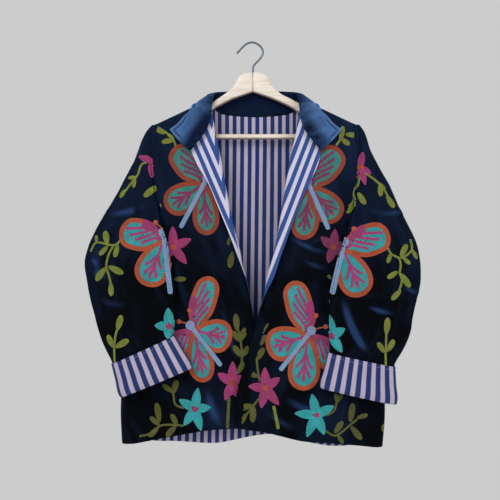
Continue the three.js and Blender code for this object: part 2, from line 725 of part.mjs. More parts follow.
// Wooden half of the hanger, cut for the hook and the bar
function hangerArm(top, under, glue) {
  const side = Math.sign(top[0].x);
  const curve = (rows) => new THREE.SplineCurve(rows.map(({ x, z }) => new THREE.Vector2(x, z)));
  const outline = [
    new THREE.Vector2(glue, ARM_DOME_Z),
    ...curve(top).getPoints(ARM_POINTS.top),
    ...curve(under).getPoints(ARM_POINTS.under),
    new THREE.Vector2(glue, ARM_APEX_Z),
  ];
  const shape = new THREE.Shape(side > 0 ? outline.reverse() : outline);
  const geometry = new THREE.ExtrudeGeometry(shape, {
    depth: ARM_THICK - 2 * ARM_EDGE,
    bevelThickness: ARM_EDGE,
    bevelSize: ARM_EDGE,
    bevelOffset: -ARM_EDGE,
    bevelSegments: 2,
  });
  geometry.rotateX(Math.PI / 2);
  geometry.translate(0, ARM_THICK / 2 - ARM_EDGE, 0);
  const hookBore = new THREE.CylinderGeometry(
    HOOK_BORE.radius,
    HOOK_BORE.radius,
    -HOOK_BORE.bottom,
    ROUND_SIDES,
  );
  hookBore.rotateX(Math.PI / 2);
  hookBore.translate(HOOK_X, 0, HOOK_BORE.bottom / 2);
  const [from, to] = side > 0 ? [0, BAR.right + SEAM] : [BAR.left - SEAM, 0];
  return cut(geometry, [hookBore, dowel(BAR.bore, from, to)]);
}

// A round bar along X at the height of the hanger's dowel
function dowel(radius, from, to) {
  const geometry = new THREE.CylinderGeometry(radius, radius, to - from, ROUND_SIDES);
  geometry.rotateZ(Math.PI / 2);
  geometry.translate((from + to) / 2, 0, BAR.z);
  return geometry;
}

function toManifold(geometry) {
  const bare = geometry.clone();
  bare.deleteAttribute('normal');
  bare.deleteAttribute('uv');
  const merged = mergeVertices(bare, 1e-4);
  return new wasm.Manifold(
    new wasm.Mesh({
      numProp: 3,
      vertProperties: new Float32Array(merged.attributes.position.array),
      triVerts: new Uint32Array(merged.index.array),
    }),
  );
}

function cut(geometry, tools) {
  const result = tools.reduce((body, tool) => body.subtract(toManifold(tool)), toManifold(geometry));
  const mesh = result.getMesh();
  return solid(Array.from(mesh.vertProperties), Array.from(mesh.triVerts));
}

function hookWire() {
  const path = new THREE.CatmullRomCurve3(HOOK_PATH.map(({ x, z }) => new THREE.Vector3(x, 0, z)));
  const circle = new THREE.Shape();
  circle.absarc(0, 0, HOOK_WIRE, 0, 2 * Math.PI);
  return new THREE.ExtrudeGeometry(circle, {
    steps: HOOK_STEPS.along,
    curveSegments: HOOK_STEPS.quarter,
    extrudePath: path,
  });
}

const LOOKS = {
  velvet: { color: 0x0d1422, roughness: 0.85, metalness: 0 },
  lining: { color: 0x9aa3c4, roughness: 0.9, metalness: 0 },
  wood: { color: 0xdfc6a8, roughness: 0.55, metalness: 0 },
  steel: { color: 0x4b5560, roughness: 0.35, metalness: 1 },
};

const jacket = new THREE.Group();

function add(name, geometry, look) {
  const mesh = new THREE.Mesh(geometry, new THREE.MeshStandardMaterial(LOOKS[look]));
  mesh.name = name;
  jacket.add(mesh);
}

const back = backGrid();
const backEnd = back[0].length - 1;
const backNormals = gridNormals(back, { flip: -1, seamTop: true, seamSides: [0, backEnd] });
add('back', wall(back, backNormals, VELVET), 'velvet');
add('lining_back', wall(back, backNormals, LINING), 'lining');

const SIDES = [
  { name: 'right', side: -1, edge: RIGHT_EDGE, hem: RIGHT_HEM, sleeve: RIGHT_SLEEVE, column: 0 },
  { name: 'left', side: 1, edge: LEFT_EDGE, hem: LEFT_HEM, sleeve: LEFT_SLEEVE, column: backEnd },
];
for (const { name, side, edge, hem, sleeve, column } of SIDES) {
  const front = frontGrid(side, edge, hem, side > 0);
  const frontNormals = gridNormals(front, { flip: -side, seamTop: true, seamSides: [0] });
  add(`front_${name}`, wall(front, frontNormals, VELVET), 'velvet');
  add(`lining_front_${name}`, wall(front, frontNormals, LINING), 'lining');
  const loop = armholeLoop(front, frontNormals, back, backNormals, column);
  const tube = sleeveGrid(loop, sleeve);
  const tubeNormals = gridNormals(tube, {
    closed: true,
    flip: -side,
    first: loop.map(({ normal }) => normal),
  });
  add(`sleeve_${name}`, wall(tube, tubeNormals, [0, SLEEVE_WALL], true), 'velvet');
  const cuff = cuffGrid(tube, tubeNormals);
  const cuffNormals = gridNormals(cuff, { closed: true, flip: -side });
  add(`cuff_${name}`, wall(cuff, cuffNormals, [-CUFF_WALL / 2, CUFF_WALL / 2], true), 'lining');
}

const collar = collarGrid();
add('collar', wall(collar, gridNormals(collar), [-COLLAR_WALL / 2, COLLAR_WALL / 2]), 'velvet');

add('hanger_arm_right', hangerArm(RIGHT_ARM_TOP, RIGHT_ARM_UNDER, GLUE_X - SEAM / 2), 'wood');
add('hanger_arm_left', hangerArm(LEFT_ARM_TOP, LEFT_ARM_UNDER, GLUE_X + SEAM / 2), 'wood');
add('hanger_bar', dowel(BAR.radius, BAR.left, BAR.right), 'wood');
add('hanger_hook', hookWire(), 'steel');

export default jacket;
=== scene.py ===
# %% [markdown]
# # An embroidered velvet jacket on a wooden hanger
#
# A hip-length jacket hangs open on a hanger. The CAD model fixes every size, and this lesson gives each
# piece its cloth, creases, stitching and finish. We load the CAD first and keep its box, so that the
# finished jacket can be compared with it at the end.

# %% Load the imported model
import math

import bpy
import numpy as np
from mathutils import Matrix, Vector
from mathutils.bvhtree import BVHTree


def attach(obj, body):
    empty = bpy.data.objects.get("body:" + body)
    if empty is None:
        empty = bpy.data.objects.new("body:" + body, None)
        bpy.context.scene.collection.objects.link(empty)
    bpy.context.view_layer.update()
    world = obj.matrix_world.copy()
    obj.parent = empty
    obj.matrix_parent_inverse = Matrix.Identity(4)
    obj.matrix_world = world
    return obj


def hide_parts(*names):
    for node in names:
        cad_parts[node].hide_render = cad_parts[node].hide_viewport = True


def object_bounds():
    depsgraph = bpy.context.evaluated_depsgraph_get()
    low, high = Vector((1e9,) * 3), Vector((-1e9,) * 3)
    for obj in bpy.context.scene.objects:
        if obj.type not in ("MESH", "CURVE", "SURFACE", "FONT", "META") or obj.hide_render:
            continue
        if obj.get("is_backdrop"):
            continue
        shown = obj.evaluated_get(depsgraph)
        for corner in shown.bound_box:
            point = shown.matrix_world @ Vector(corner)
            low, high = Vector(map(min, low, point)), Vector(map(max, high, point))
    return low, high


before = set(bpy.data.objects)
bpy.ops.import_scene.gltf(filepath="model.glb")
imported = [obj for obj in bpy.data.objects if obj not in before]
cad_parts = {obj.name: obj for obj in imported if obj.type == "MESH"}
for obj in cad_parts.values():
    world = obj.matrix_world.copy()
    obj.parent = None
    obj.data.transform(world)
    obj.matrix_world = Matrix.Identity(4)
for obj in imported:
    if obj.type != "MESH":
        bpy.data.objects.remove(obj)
cad_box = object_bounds()
bpy.ops.object.select_all(action="DESELECT")
MM = 0.001

# %% [markdown]
# ## Camera, floor and light
#
# The jacket is seen straight from the front, so the camera looks along Y at the middle of the picture.
# A pale world gives soft light from all sides, and two large area lamps add the gentle shade of a studio.
# The floor is a small pale disc well below the hem.

# %% Camera, floor and light
CAMERA = {"place": (-0.005, -1.2, -0.413), "lens": 43.2, "sensor": 36.0}
PALE = 0.604

bpy.ops.object.camera_add(location=CAMERA["place"], rotation=(math.pi / 2, 0, 0))
camera = bpy.context.object
camera.data.lens = CAMERA["lens"]
camera.data.sensor_width = CAMERA["sensor"]
bpy.context.scene.camera = camera
bpy.context.scene.view_settings.view_transform = "Standard"

world = bpy.data.worlds.new("studio")
world.use_nodes = True
world.node_tree.nodes["Background"].inputs["Color"].default_value = (PALE, PALE, PALE, 1)
bpy.context.scene.world = world

LAMPS = [
    ("key", (-1.1, -2.0, 0.9), 1.3, 30),
    ("fill", (1.5, -1.8, 0.1), 1.6, 12),
    ("rim", (0.3, 1.6, 1.2), 1.2, 14),
]
for name, place, size, power in LAMPS:
    bpy.ops.object.light_add(type="AREA", location=place)
    lamp = bpy.context.object
    lamp.name = "lamp_" + name
    lamp.data.size = size
    lamp.data.energy = power
    toward = Vector((0, 0, -0.4)) - Vector(place)
    lamp.rotation_euler = toward.to_track_quat("-Z", "Y").to_euler()

bpy.ops.mesh.primitive_cylinder_add(vertices=96, radius=0.75, depth=0.01, location=(0, 0.1, -1.305))
floor = bpy.context.object
floor.name = "floor"
floor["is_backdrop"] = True
print("camera and", len(LAMPS), "lamps")

# %% [markdown]
# ## Writing materials as sums
#
# A material is a small network of nodes. Placing each Math node by hand hides the idea, so one class
# wraps a socket and lets us write `1 - mask` or `u * 3 + v`. Colours go through a Mix node instead,
# because a Math node would turn them grey. A second class holds one material and its main shader.


# %% Sockets that can be added and multiplied
class Value:
    def __init__(self, finish, socket):
        self.finish = finish
        self.socket = socket

    def math(self, operation, *others):
        return self.finish.node("ShaderNodeMath", {"operation": operation}, (self, *others))[0]

    def __add__(self, other):
        return self.math("ADD", other)

    def __radd__(self, other):
        return self.math("ADD", other)

    def __sub__(self, other):
        return self.math("SUBTRACT", other)

    def __rsub__(self, other):
        return self.finish.node("ShaderNodeMath", {"operation": "SUBTRACT"}, (other, self))[0]

    def __mul__(self, other):
        return self.math("MULTIPLY", other)

    def __rmul__(self, other):
        return self.math("MULTIPLY", other)

    def part(self):
        return self.math("FRACT")

    def sine(self):
        return self.math("SINE")

    def above(self, edge, soft):
        """0 below the edge and 1 above it, with a soft step between"""
        return ((self - edge) * (1 / soft) + 0.5).math("MINIMUM", 1).math("MAXIMUM", 0)


print("sockets can be added and multiplied")


# %% One material and its nodes
class Finish:
    def __init__(self, name, **fixed):
        self.material = bpy.data.materials.new(name)
        self.material.use_nodes = True
        self.tree = self.material.node_tree
        self.shader = self.tree.nodes["Principled BSDF"]
        for socket, value in fixed.items():
            self.shader.inputs[socket.replace("_", " ")].default_value = value

    def node(self, kind, settings, values):
        """Add a node, give it its settings, then its values or links, and return its outputs"""
        node = self.tree.nodes.new(kind)
        for key, value in settings.items():
            setattr(node, key, value)
        pairs = values.items() if isinstance(values, dict) else enumerate(values)
        for key, value in pairs:
            self.set(node.inputs[key], value)
        return [Value(self, socket) for socket in node.outputs]

    def set(self, socket, value):
        if isinstance(value, Value):
            self.tree.links.new(value.socket, socket)
        elif value is not None:
            socket.default_value = value

    def place(self, kind="Object"):
        return self.node("ShaderNodeTexCoord", {}, {})[{"UV": 2, "Object": 3}[kind]]

    def split(self, vector):
        return self.node("ShaderNodeSeparateXYZ", {}, (vector,))

    def stretched(self, place, scale):
        return self.node("ShaderNodeMapping", {}, {0: place, 3: scale})[0]

    def noise(self, place, scale, detail=2.0):
        return self.node("ShaderNodeTexNoise", {}, {"Vector": place, "Scale": scale, "Detail": detail})[0]

    def mix(self, first, second, factor):
        settings = {"data_type": "RGBA"}
        return self.node("ShaderNodeMix", settings, {0: factor, 6: first, 7: second})[2]

    def bump(self, height, strength, distance):
        values = {"Height": height, "Strength": strength, "Distance": distance}
        self.feed("Normal", self.node("ShaderNodeBump", {}, values)[0])

    def feed(self, name, value):
        self.set(self.shader.inputs[name], value)


def colour(code):
    """A linear colour from the usual six-digit code"""
    parts = [int(code[i : i + 2], 16) / 255 for i in (0, 2, 4)]
    line = [p / 12.92 if p <= 0.04045 else ((p + 0.055) / 1.055) ** 2.4 for p in parts]
    return (*line, 1.0)


print("material helpers ready")

# %% [markdown]
# ## Velvet
#
# Velvet is a cut pile. It swallows the light that falls straight on it and shines where the pile is seen
# from the side, so its colour is nearly black and the Sheen setting gives the bright rim. Where a hand has
# brushed the pile the other way it looks paler, so soft noise mixes a bluer colour in. An attribute of the
# mesh mixes the same bluer colour in as a painted highlight on the tops of the creases and along the collar's
# edges, where it is partly rubbed pile; on the collar's groove, stand and roll it holds the deep colour as
# painted shade. Toward the shoulders, where more light falls along the pile, painted light makes the cloth a
# little paler too.


# %% Velvet
def velvet(name, deep, paler_pile_and_highlight, amount, glow):
    cloth = Finish(name, Roughness=0.92, Sheen_Weight=glow, Sheen_Roughness=0.3)
    cloth.shader.inputs["Sheen Tint"].default_value = colour("6F93CF")
    cloth.shader.inputs["Specular IOR Level"].default_value = 0.05
    place = cloth.place("UV")
    patches = cloth.noise(cloth.stretched(place, (9, 5, 1)), 1.0, 3.0)
    streaks = cloth.noise(cloth.stretched(place, (60, 14, 1)), 1.0, 2.0)
    # painted highlights on crease tops, and on the collar paler edges that are partly rubbed pile and painted
    # shade
    _, _, painted_light_and_wear, _ = cloth.node("ShaderNodeAttribute", {"attribute_name": "painted_light_and_wear"}, {})
    _, _, height = cloth.split(cloth.place())
    pile_and_painted_light = (patches * 0.7 + streaks * 0.3).above(0.57, 0.24) * amount
    # painted light: the cloth is mixed paler toward the shoulders, where more light falls along the pile
    pile_and_painted_light = pile_and_painted_light + painted_light_and_wear + height.above(-0.28, 0.4) * 0.27
    cloth.feed("Base Color", cloth.mix(colour(deep), colour(paler_pile_and_highlight), pile_and_painted_light.math("MINIMUM", 1)))
    pile = cloth.noise(place, 1400, 2.0)
    cloth.feed("Roughness", 0.85 + pile * 0.1)
    cloth.bump(pile, 0.35, 0.0004)
    return cloth.material


VELVET = velvet("navy_velvet", "030509", "22375E", 0.26, 0.08)
COLLAR_VELVET = velvet("brushed_velvet", "0C1830", "5076AC", 0.6, 0.25)
print("velvets", VELVET.name, COLLAR_VELVET.name)

# %% [markdown]
# ## Striped cotton
#
# The lining is a woven stripe: a pale band with a slanting twill and a blue band with fine darker lines,
# each half of the repeat. The stripes follow the cloth, so they are drawn from the piece's own UV map,
# where U runs across the cloth and V along it, both in metres. The fraction of U over the repeat tells
# where in a stripe a point lies.


# %% Striped cotton
def striped(name, repeat, shift, pale, blue):
    cloth = Finish(name, Roughness=0.85)
    cloth.shader.inputs["Specular IOR Level"].default_value = 0.2
    u, v, _ = cloth.split(cloth.place("UV"))
    band = (u * (1 / repeat) + shift).part()
    half = (band - 0.5).math("ABSOLUTE")
    is_blue = 1 - half.above(0.265, 0.05)
    twill = (u * 420 + v * 300).part().above(0.62, 0.3)
    rib = (band * 8).part().above(0.7, 0.3)
    slub = cloth.noise(cloth.stretched(cloth.place("UV"), (500, 30, 1)), 1.0, 2.0)
    light = cloth.mix(colour(pale), colour("6E6076"), twill * 0.5 + slub * 0.2)
    dark = cloth.mix(colour(blue), colour("101F4E"), rib * 0.55 + slub * 0.3)
    cloth.feed("Base Color", cloth.mix(light, dark, is_blue))
    weave = (u * 6283).sine() * (v * 6283).sine()
    cloth.bump(weave * 0.5 + twill * 0.5 + slub * 0.4, 0.3, 0.0003)
    return cloth.material


# One cotton in three copies, toned for the light on them: the back's copy is painted darker as painted shade
# inside the jacket, and the lapels' copy paler and bluer as painted light.
SHADED_STRIPE = striped("stripe_painted_shade", 0.0154, 0.25, "C6BACC", "20366E")
LIT_STRIPE = striped("stripe_painted_light", 0.0153, 0.25, "E0DDF0", "38599F")
CUFF_STRIPE = striped("cuff_stripe", 0.0170, 0.1, "C4B6CA", "22386E")
print("stripes", SHADED_STRIPE.name, LIT_STRIPE.name, CUFF_STRIPE.name)

# %% [markdown]
# ## Thread
#
# The motifs are worked in soft wool-like yarn. Each yarn has slightly uneven dye, so a wide noise shades
# the colour and a fine one breaks it into fibres.


# %% Thread
def thread(name, code, shade):
    yarn = Finish(name, Roughness=0.8, Sheen_Weight=0.15)
    place = yarn.place()
    uneven = yarn.noise(place, 45, 2.0).above(0.5, 0.5)
    fibre = yarn.noise(place, 1600, 2.0)
    flecks = yarn.noise(place, 420, 3.0).above(0.6, 0.2)
    tone = yarn.mix(colour(code), colour(shade), uneven * 0.6 + (fibre - 0.5) * 0.6)
    tone = yarn.mix(tone, colour("1C1A20"), flecks * 0.3)
    yarn.feed("Base Color", tone)
    yarn.bump(fibre, 0.5, 0.0005)
    return yarn.material


THREADS = {
    "orange": thread("orange_thread", "D26636", "A64424"),
    "rust": thread("rust_thread", "B6502C", "8C3A1C"),
    "turquoise": thread("turquoise_thread", "3CC6CA", "2A9094"),
    "sea": thread("sea_thread", "46AEA6", "2A7A74"),
    "magenta": thread("magenta_thread", "C2448A", "902A60"),
    "plum": thread("plum_thread", "983068", "74244C"),
    "sky": thread("sky_thread", "9EBDDE", "7496BA"),
    "leaf": thread("leaf_thread", "98A238", "6E7828"),
    "olive": thread("olive_thread", "707222", "4C4E18"),
    "navy": thread("navy_thread", "24406E", "16284A"),
}
YARNS = list(THREADS)
print("threads", YARNS)

# %% [markdown]
# ## Wood and steel
#
# The hanger is pale sanded beech with a clear matt lacquer. Its grain runs along the arms, so the noise is
# stretched along X. Where the surface's own normal faces down, the beech is painted browner as painted shade.
# The hook is dark drawn steel wire with fine marks.

# %% Wood and steel
wood = Finish("beech", Roughness=0.45, Coat_Weight=0.15, Coat_Roughness=0.3)
along_arm = wood.stretched(wood.place(), (6, 70, 70))
grain = wood.noise(along_arm, 3.0, 4.0)
pores = wood.noise(wood.stretched(wood.place(), (60, 900, 900)), 1.0, 2.0)
_, normal, *_ = wood.node("ShaderNodeNewGeometry", {}, {})
_, _, facing_up = wood.split(normal)
planed = wood.mix(colour("E4DBD0"), colour("CFBBA4"), grain.above(0.54, 0.35) * 0.8)
# painted shade: where the normal points down, the beech is mixed toward a darker brown
wood.feed("Base Color", wood.mix(planed, colour("826C5C"), (0 - facing_up).above(0.5, 0.3) * 0.8))
wood.feed("Roughness", 0.4 + pores * 0.2)
wood.bump(pores, 0.2, 0.0002)

steel = Finish("dark_steel", Metallic=1.0, Roughness=0.35)
marks = steel.noise(steel.stretched(steel.place(), (300, 300, 900)), 1.0, 2.0)
steel.feed("Base Color", steel.mix(colour("7C8792"), colour("4B5560"), marks))
steel.feed("Roughness", 0.28 + marks * 0.2)
print("hanger finishes ready")

# %% [markdown]
# ## Smooth curves through a few numbers
#
# Every outline of the jacket is a short table of measured sizes in millimetres. `table` gives each column
# its name, and `read` draws a smooth curve through one column. `hermite` is the smooth step from one value
# to the next that all curves here are made of.


# %% Tables and curves
def table(columns, *rows):
    return dict(zip(columns.split(), np.array(rows, float).T))


def clamp(t):
    return min(1.0, max(0.0, t))


def smooth(t):
    return clamp(t) ** 2 * (3 - 2 * clamp(t))


def ease(t):
    return 1 - (1 - clamp(t)) ** 2


def quarter(t):
    return math.sqrt(1 - (1 - clamp(t)) ** 2)


def hermite(t, start, end, leave, arrive):
    """The cubic from start to end that leaves and arrives with the given slopes"""
    blend = (2 * t**3 - 3 * t**2 + 1) * start + (3 * t**2 - 2 * t**3) * end
    return blend + (t**3 - 2 * t**2 + t) * leave + (t**3 - t**2) * arrive


def read(tab, key, at, field):
    order = np.argsort(tab[key])
    keys, values = tab[key][order], tab[field][order]
    at = min(keys[-1], max(keys[0], at))
    last = len(keys) - 1
    i = max(1, int(np.searchsorted(keys, at)))

    def slope(n):
        a, b = max(0, n - 1), min(last, n + 1)
        return (values[b] - values[a]) / (keys[b] - keys[a])

    span = keys[i] - keys[i - 1]
    t = (at - keys[i - 1]) / span
    return hermite(t, values[i - 1], values[i], span * slope(i - 1), span * slope(i))


print("curve helpers ready")

# %% [markdown]
# ## The sizes of the jacket
#
# These are the sizes of the CAD solids: where the shoulder slopes, how wide the body is at each height,
# where the front edges run and how far they roll, the hems, and the rings of the sleeves.

# %% Sizes, in millimetres
SEAM = 0.3
VELVET_WALL = (0.15, 2.0)
LINING_WALL = (-1.3, -0.15)
NECK_R, ARMHOLE_R = 92, 193.5
SHOULDER_Z, SHOULDER_SLOPE = -70.4, 0.47
CROWN, SETTLE = 10, 110
UNDERARM_Z, HEM_Z, HEM_R, UNDER_EDGE_Z = -388, -795, 258, -420
FRONT = {"depth": 23, "swell": 3}
BACK = {"depth": 17, "swell": 3}
SIDE_ROUND, ARM_ROUND = 42, 55

FRONT_WIDTH = table(
    "z r",
    (-161.3, 193.5), (-190, 195), (-215, 199), (-262, 199.5), (-317, 187), (-350, 179), (-372, 184),
    (-388, 204), (-430, 228), (-500, 246), (-600, 256), (-720, 262), (-780, 261), (-805, 258),
)
BACK_ARMHOLE = {"r": 188, "more": 16, "from": -330, "to": -388}
BACK_WIDTH = {key: column.copy() for key, column in FRONT_WIDTH.items()}
for row, (z, r) in enumerate(zip(FRONT_WIDTH["z"], FRONT_WIDTH["r"])):
    if z > UNDERARM_Z:
        part = smooth((BACK_ARMHOLE["from"] - z) / (BACK_ARMHOLE["from"] - BACK_ARMHOLE["to"]))
        BACK_WIDTH["r"][row] = max(r, BACK_ARMHOLE["r"] + BACK_ARMHOLE["more"] * part)

RIGHT_EDGE = table(
    "z x lapel turn",
    (-116.5, -92, 4, 0.05), (-130, -89, 3, 0.95), (-142, -84, 3, 2.05), (-155, -80, 20, 3.1),
    (-180, -75, 45, 3.24), (-212, -67, 54, 3.24), (-269, -57, 35, 3.27), (-316, -48, 25, 3.27),
    (-370, -37, 14, 3.1), (-421, -24, 9, 2.4), (-483, -10, 5, 0.6), (-549, 3, 4, 0.1),
    (-615, 14, 4, 0.05), (-666, 25, 4, 0.05), (-764, 36, 4, 0.05),
)
LEFT_EDGE = table(
    "z x lapel turn",
    (-116.5, 104, 4, 0.05), (-130, 101, 3, 0.95), (-142, 96, 3, 2.05), (-157, 92, 21, 3.1),
    (-184, 86, 46, 3.24), (-226, 76, 56, 3.24), (-312, 61, 36, 3.27), (-346, 56, 29, 3.27),
    (-412, 44, 17, 3.2), (-463, 30, 13, 2.8), (-515, 17, 6, 1.2), (-557, 6, 4, 0.5),
    (-609, -8, 4, 0.3), (-659, -23, 4, 0.2), (-699, -33, 4, 0.2), (-758, -41, 4, 0.2),
)
ROLL_LENGTH = 15.4
OVERLAP = {"depth": 7, "full": 50, "none": 125, "top": -430, "deep": -530}
RIGHT_HEM = table("x z", (-258, -797), (-200, -787), (-135, -774), (-48, -763), (36, -762))
LEFT_HEM = table("x z", (-41, -758), (22, -768), (77, -780), (110, -790), (188, -795), (258, -803))
BACK_HEM = table(
    "x z",
    (-258, -797), (-178, -799), (-82, -804), (-25, -796), (31, -786), (77, -792), (113, -803),
    (160, -809), (258, -803),
)
BACK_NECK = table("r z", (0, -143.5), (45, -141.5), (70, -137), (82, -131), (88, -123), (92, -113.6))
# Each fold: its place across, its width, its depth at the hem and the height where it starts
FRONT_FOLDS = [
    (-205, 20, 4, -470), (-120, 26, 5, -560), (70, 18, 4, -560), (150, 28, 5, -600), (222, 16, 4, -520),
]
BACK_FOLDS = [(-190, 26, 5, -430), (-70, 30, 4, -520), (60, 26, 5, -480), (175, 30, 5, -440)]
print("body sizes ready")

# %% Sleeve and collar sizes
SLEEVE_COLUMNS = "ox oz ix iz oy iy ob ib"
RIGHT_SLEEVE = table(
    SLEEVE_COLUMNS,
    (-203, -166, -196, -374, 0, 12, 16, 12), (-211, -177, -184, -372, 1, 30, 17, 9),
    (-229, -220, -173, -386, 5, 38, 17, 8), (-248, -260, -167, -404, 11, 40, 16, 9),
    (-265, -299, -163, -422, 17, 41, 15, 10), (-302, -368, -157, -446, 28, 42, 14, 11),
    (-326, -429, -152, -476, 36, 42.5, 13, 12), (-317, -490, -149, -502, 40, 43, 13, 12),
    (-305, -540, -149, -530, 42, 43, 13, 12), (-289, -590, -150, -556, 43, 43.5, 12, 11),
    (-270, -631.5, -152.5, -578, 44, 44, 11, 11), (-254.5, -693, -118.5, -636.5, 44, 44, 10.5, 10.5),
)
LEFT_SLEEVE = table(
    SLEEVE_COLUMNS,
    (215, -165, 208, -374, 0, 12, 16, 12), (222, -177, 196, -372, 1, 30, 17, 9),
    (232, -210, 185, -386, 4, 38, 17, 8), (248, -243, 177, -404, 10, 40, 16, 9),
    (266, -279, 171, -420, 16, 41, 15, 10), (295, -347, 162, -446, 27, 42, 14, 11),
    (319, -400, 156, -470, 35, 42.5, 13, 12), (326, -462, 150, -500, 40, 43, 13, 12),
    (314, -520, 149, -535, 42, 43, 13, 12), (297, -592, 148, -578, 43, 43.5, 12, 11),
    (272.5, -637, 148, -610, 44, 44, 11, 11), (276, -707, 132, -674.5, 44, 44, 10.5, 10.5),
)
SLEEVE_WALL, SLEEVE_SEAM, SLEEVE_LEAD, SLEEVE_FLATNESS = 2, 0.4, 3.5, 0.75
CUFF_WALL, CUFF_CLEAR, CUFF_INSIDE = 2.2, 0.5, 30
COLLAR = table(
    "fr fy fz nr ny nz er ey ez",
    (125.5, -34.5, -220, 129.5, -31, -214, 169, -18.5, -176),
    (97.5, -35.5, -184, 103, -32, -178, 152, -18, -162.5),
    (87, -34, -157, 98, -31, -154, 139.5, -15.5, -147.5),
    (85, -24, -135, 96, -24, -133, 129.5, -13.5, -138),
    (84, -17, -114, 96, -13, -117, 126, -6, -126.5),
    (84, -3, -101.5, 94, 0, -110, 121.5, 5, -123.5),
    (76, 8.5, -96.5, 87, 12.5, -123, 106, 20, -138),
    (58, 14.5, -93, 64, 15.2, -134.5, 72, 22, -154),
    (29, 16, -92.5, 30, 17, -139.8, 35, 24, -156),
    (0, 16.5, -92.5, 0, 17.5, -141.3, 0, 24.5, -157),
)
COLLAR_WALL, COLLAR_FOLD, COLLAR_SHIFT, COLLAR_CLEAR, COLLAR_SWELL = 2.4, 2.6, 6, 4.6, 3
COLLAR_RESTS_FROM = NECK_R - 12
FOLD_ANGLES = (0, 60, 120, 180)
LAPEL_LIFT = {"height": 13, "top": -106, "full": -136, "inner": 120, "outer": 134}
print("sleeve and collar sizes ready")

# %% [markdown]
# ## How far the cloth stands from the hanger
#
# Seen from the side, each panel falls from the shoulder over the hanger, settles to a nearly even depth,
# and turns in at the side seam. Soft folds deepen toward the hem, and the left front lies over the right.


# %% Depth of the panels
LEAN = {"most": 6, "above": -220}


def middle(z):
    """How far aside the body's middle line is at a height"""
    return LEAN["most"] * clamp((z - HEM_Z) / (LEAN["above"] - HEM_Z))


def shoulder_z(r):
    return SHOULDER_Z - SHOULDER_SLOPE * r


def panel_depth(panel, folds, x, z, width):
    r = abs(x - middle(z))
    full = panel["depth"] + panel["swell"] * (1 - (r / width) ** 2)
    below = max(0, shoulder_z(r) - z)
    crown = CROWN + (full - CROWN) * ease((below - CROWN) / SETTLE)
    if below < CROWN:
        crown = math.sqrt(CROWN**2 - (CROWN - below) ** 2)
    for at, wide, deep, top in folds:
        crown -= deep * math.exp(-(((x - at) / wide) ** 2)) * smooth((top - z) / (top - HEM_Z))
    inward, upward = quarter((width - r) / SIDE_ROUND), quarter((z - UNDERARM_Z) / ARM_ROUND)
    return SEAM / 2 + crown * (1 - (1 - inward) * (1 - upward))


def overlap(x, z):
    across = smooth((OVERLAP["none"] - x) / (OVERLAP["none"] - OVERLAP["full"]))
    return OVERLAP["depth"] * across * smooth((OVERLAP["top"] - z) / (OVERLAP["top"] - OVERLAP["deep"]))


TOP_STEPS = [0, 1.5, 5, 11, 26]
UPPER_ROWS, LOWER_ROWS, ROUND_COLUMNS, FLAT_COLUMNS, ROLL_COLUMNS = 6, 7, 4, 4, 6
UNDER_ROW = len(TOP_STEPS) - 1 + UPPER_ROWS


def row_heights(top, under, hem):
    start = top - TOP_STEPS[-1]
    upper = [start + (under - start) * i / UPPER_ROWS for i in range(1, UPPER_ROWS + 1)]
    lower = [under + (hem - under) * i / LOWER_ROWS for i in range(1, LOWER_ROWS + 1)]
    return [top - step for step in TOP_STEPS] + upper + lower


print("rows", len(row_heights(-160, -388, -790)))

# %% [markdown]
# ## The fronts
#
# A front is a grid of points from the side seam to the free edge. At the free edge the cloth rolls over on
# a small arc and lies back as the lapel, so the last columns follow that arc and then run flat again.


# %% The fronts
def roll_section(lapel, turn):
    radius = ROLL_LENGTH / turn
    angles = [turn * i / ROLL_COLUMNS for i in range(ROLL_COLUMNS + 1)]
    points = [(radius * math.sin(a), radius * (1 - math.cos(a))) for a in angles]
    reach = max(p[0] for p in points)
    end = points[-1]
    flat = max(2, lapel - (reach - end[0]))
    for part in (0.5, 1):
        points.append((end[0] + flat * part * math.cos(turn), end[1] + flat * part * math.sin(turn)))
    reach = max(p[0] for p in points)
    return [(along - reach, out) for along, out in points]


def side_steps():
    return [SIDE_ROUND * (1 - math.cos(math.pi / 2 * i / ROUND_COLUMNS)) for i in range(ROUND_COLUMNS + 1)]


def front_grid(side, edge, hem, over):
    side_hem = read(hem, "x", side * HEM_R, "z")
    edge_hem = edge["z"].min()
    sides = row_heights(shoulder_z(ARMHOLE_R), UNDERARM_Z, side_hem)
    edges = row_heights(edge["z"].max(), UNDER_EDGE_Z, edge_hem)
    grid = []
    for row, (side_z, edge_z) in enumerate(zip(sides, edges)):
        start = np.array([middle(side_z) + side * read(FRONT_WIDTH, "z", side_z, "r"), side_z])
        end = np.array([read(edge, "z", edge_z, "x"), edge_z])
        length = np.linalg.norm(end - start)
        along = (end - start) / length
        section = roll_section(read(edge, "z", edge_z, "lapel"), read(edge, "z", edge_z, "turn"))
        flat = length + section[0][0]
        to_hem = max(0, (row - UNDER_ROW) / LOWER_ROWS) ** 2

        def place(distance):
            x, line = start + along * distance
            straight = side_hem + (edge_hem - side_hem) * min(1, distance / length)
            z = line + (read(hem, "x", x, "z") - straight) * to_hem
            width = abs(x - middle(z)) + min(distance, SIDE_ROUND) * abs(along[0])
            lift = overlap(x, z) if over else 0
            return np.array([x, -panel_depth(FRONT, FRONT_FOLDS, x, z, width) - lift, z])

        points = [place(step) for step in side_steps()]
        for i in range(1, FLAT_COLUMNS):
            points.append(place(SIDE_ROUND + (flat - SIDE_ROUND) * i / FLAT_COLUMNS))
        root = place(flat)
        below = max(0, CROWN - TOP_STEPS[min(row, len(TOP_STEPS) - 1)]) / CROWN
        out = np.array([0, -math.sqrt(1 - below**2), below])
        for step, rise in section:
            points.append(root + np.array([along[0], 0, along[1]]) * (step - section[0][0]) + out * rise)
        grid.append(points)
    return np.array(grid)


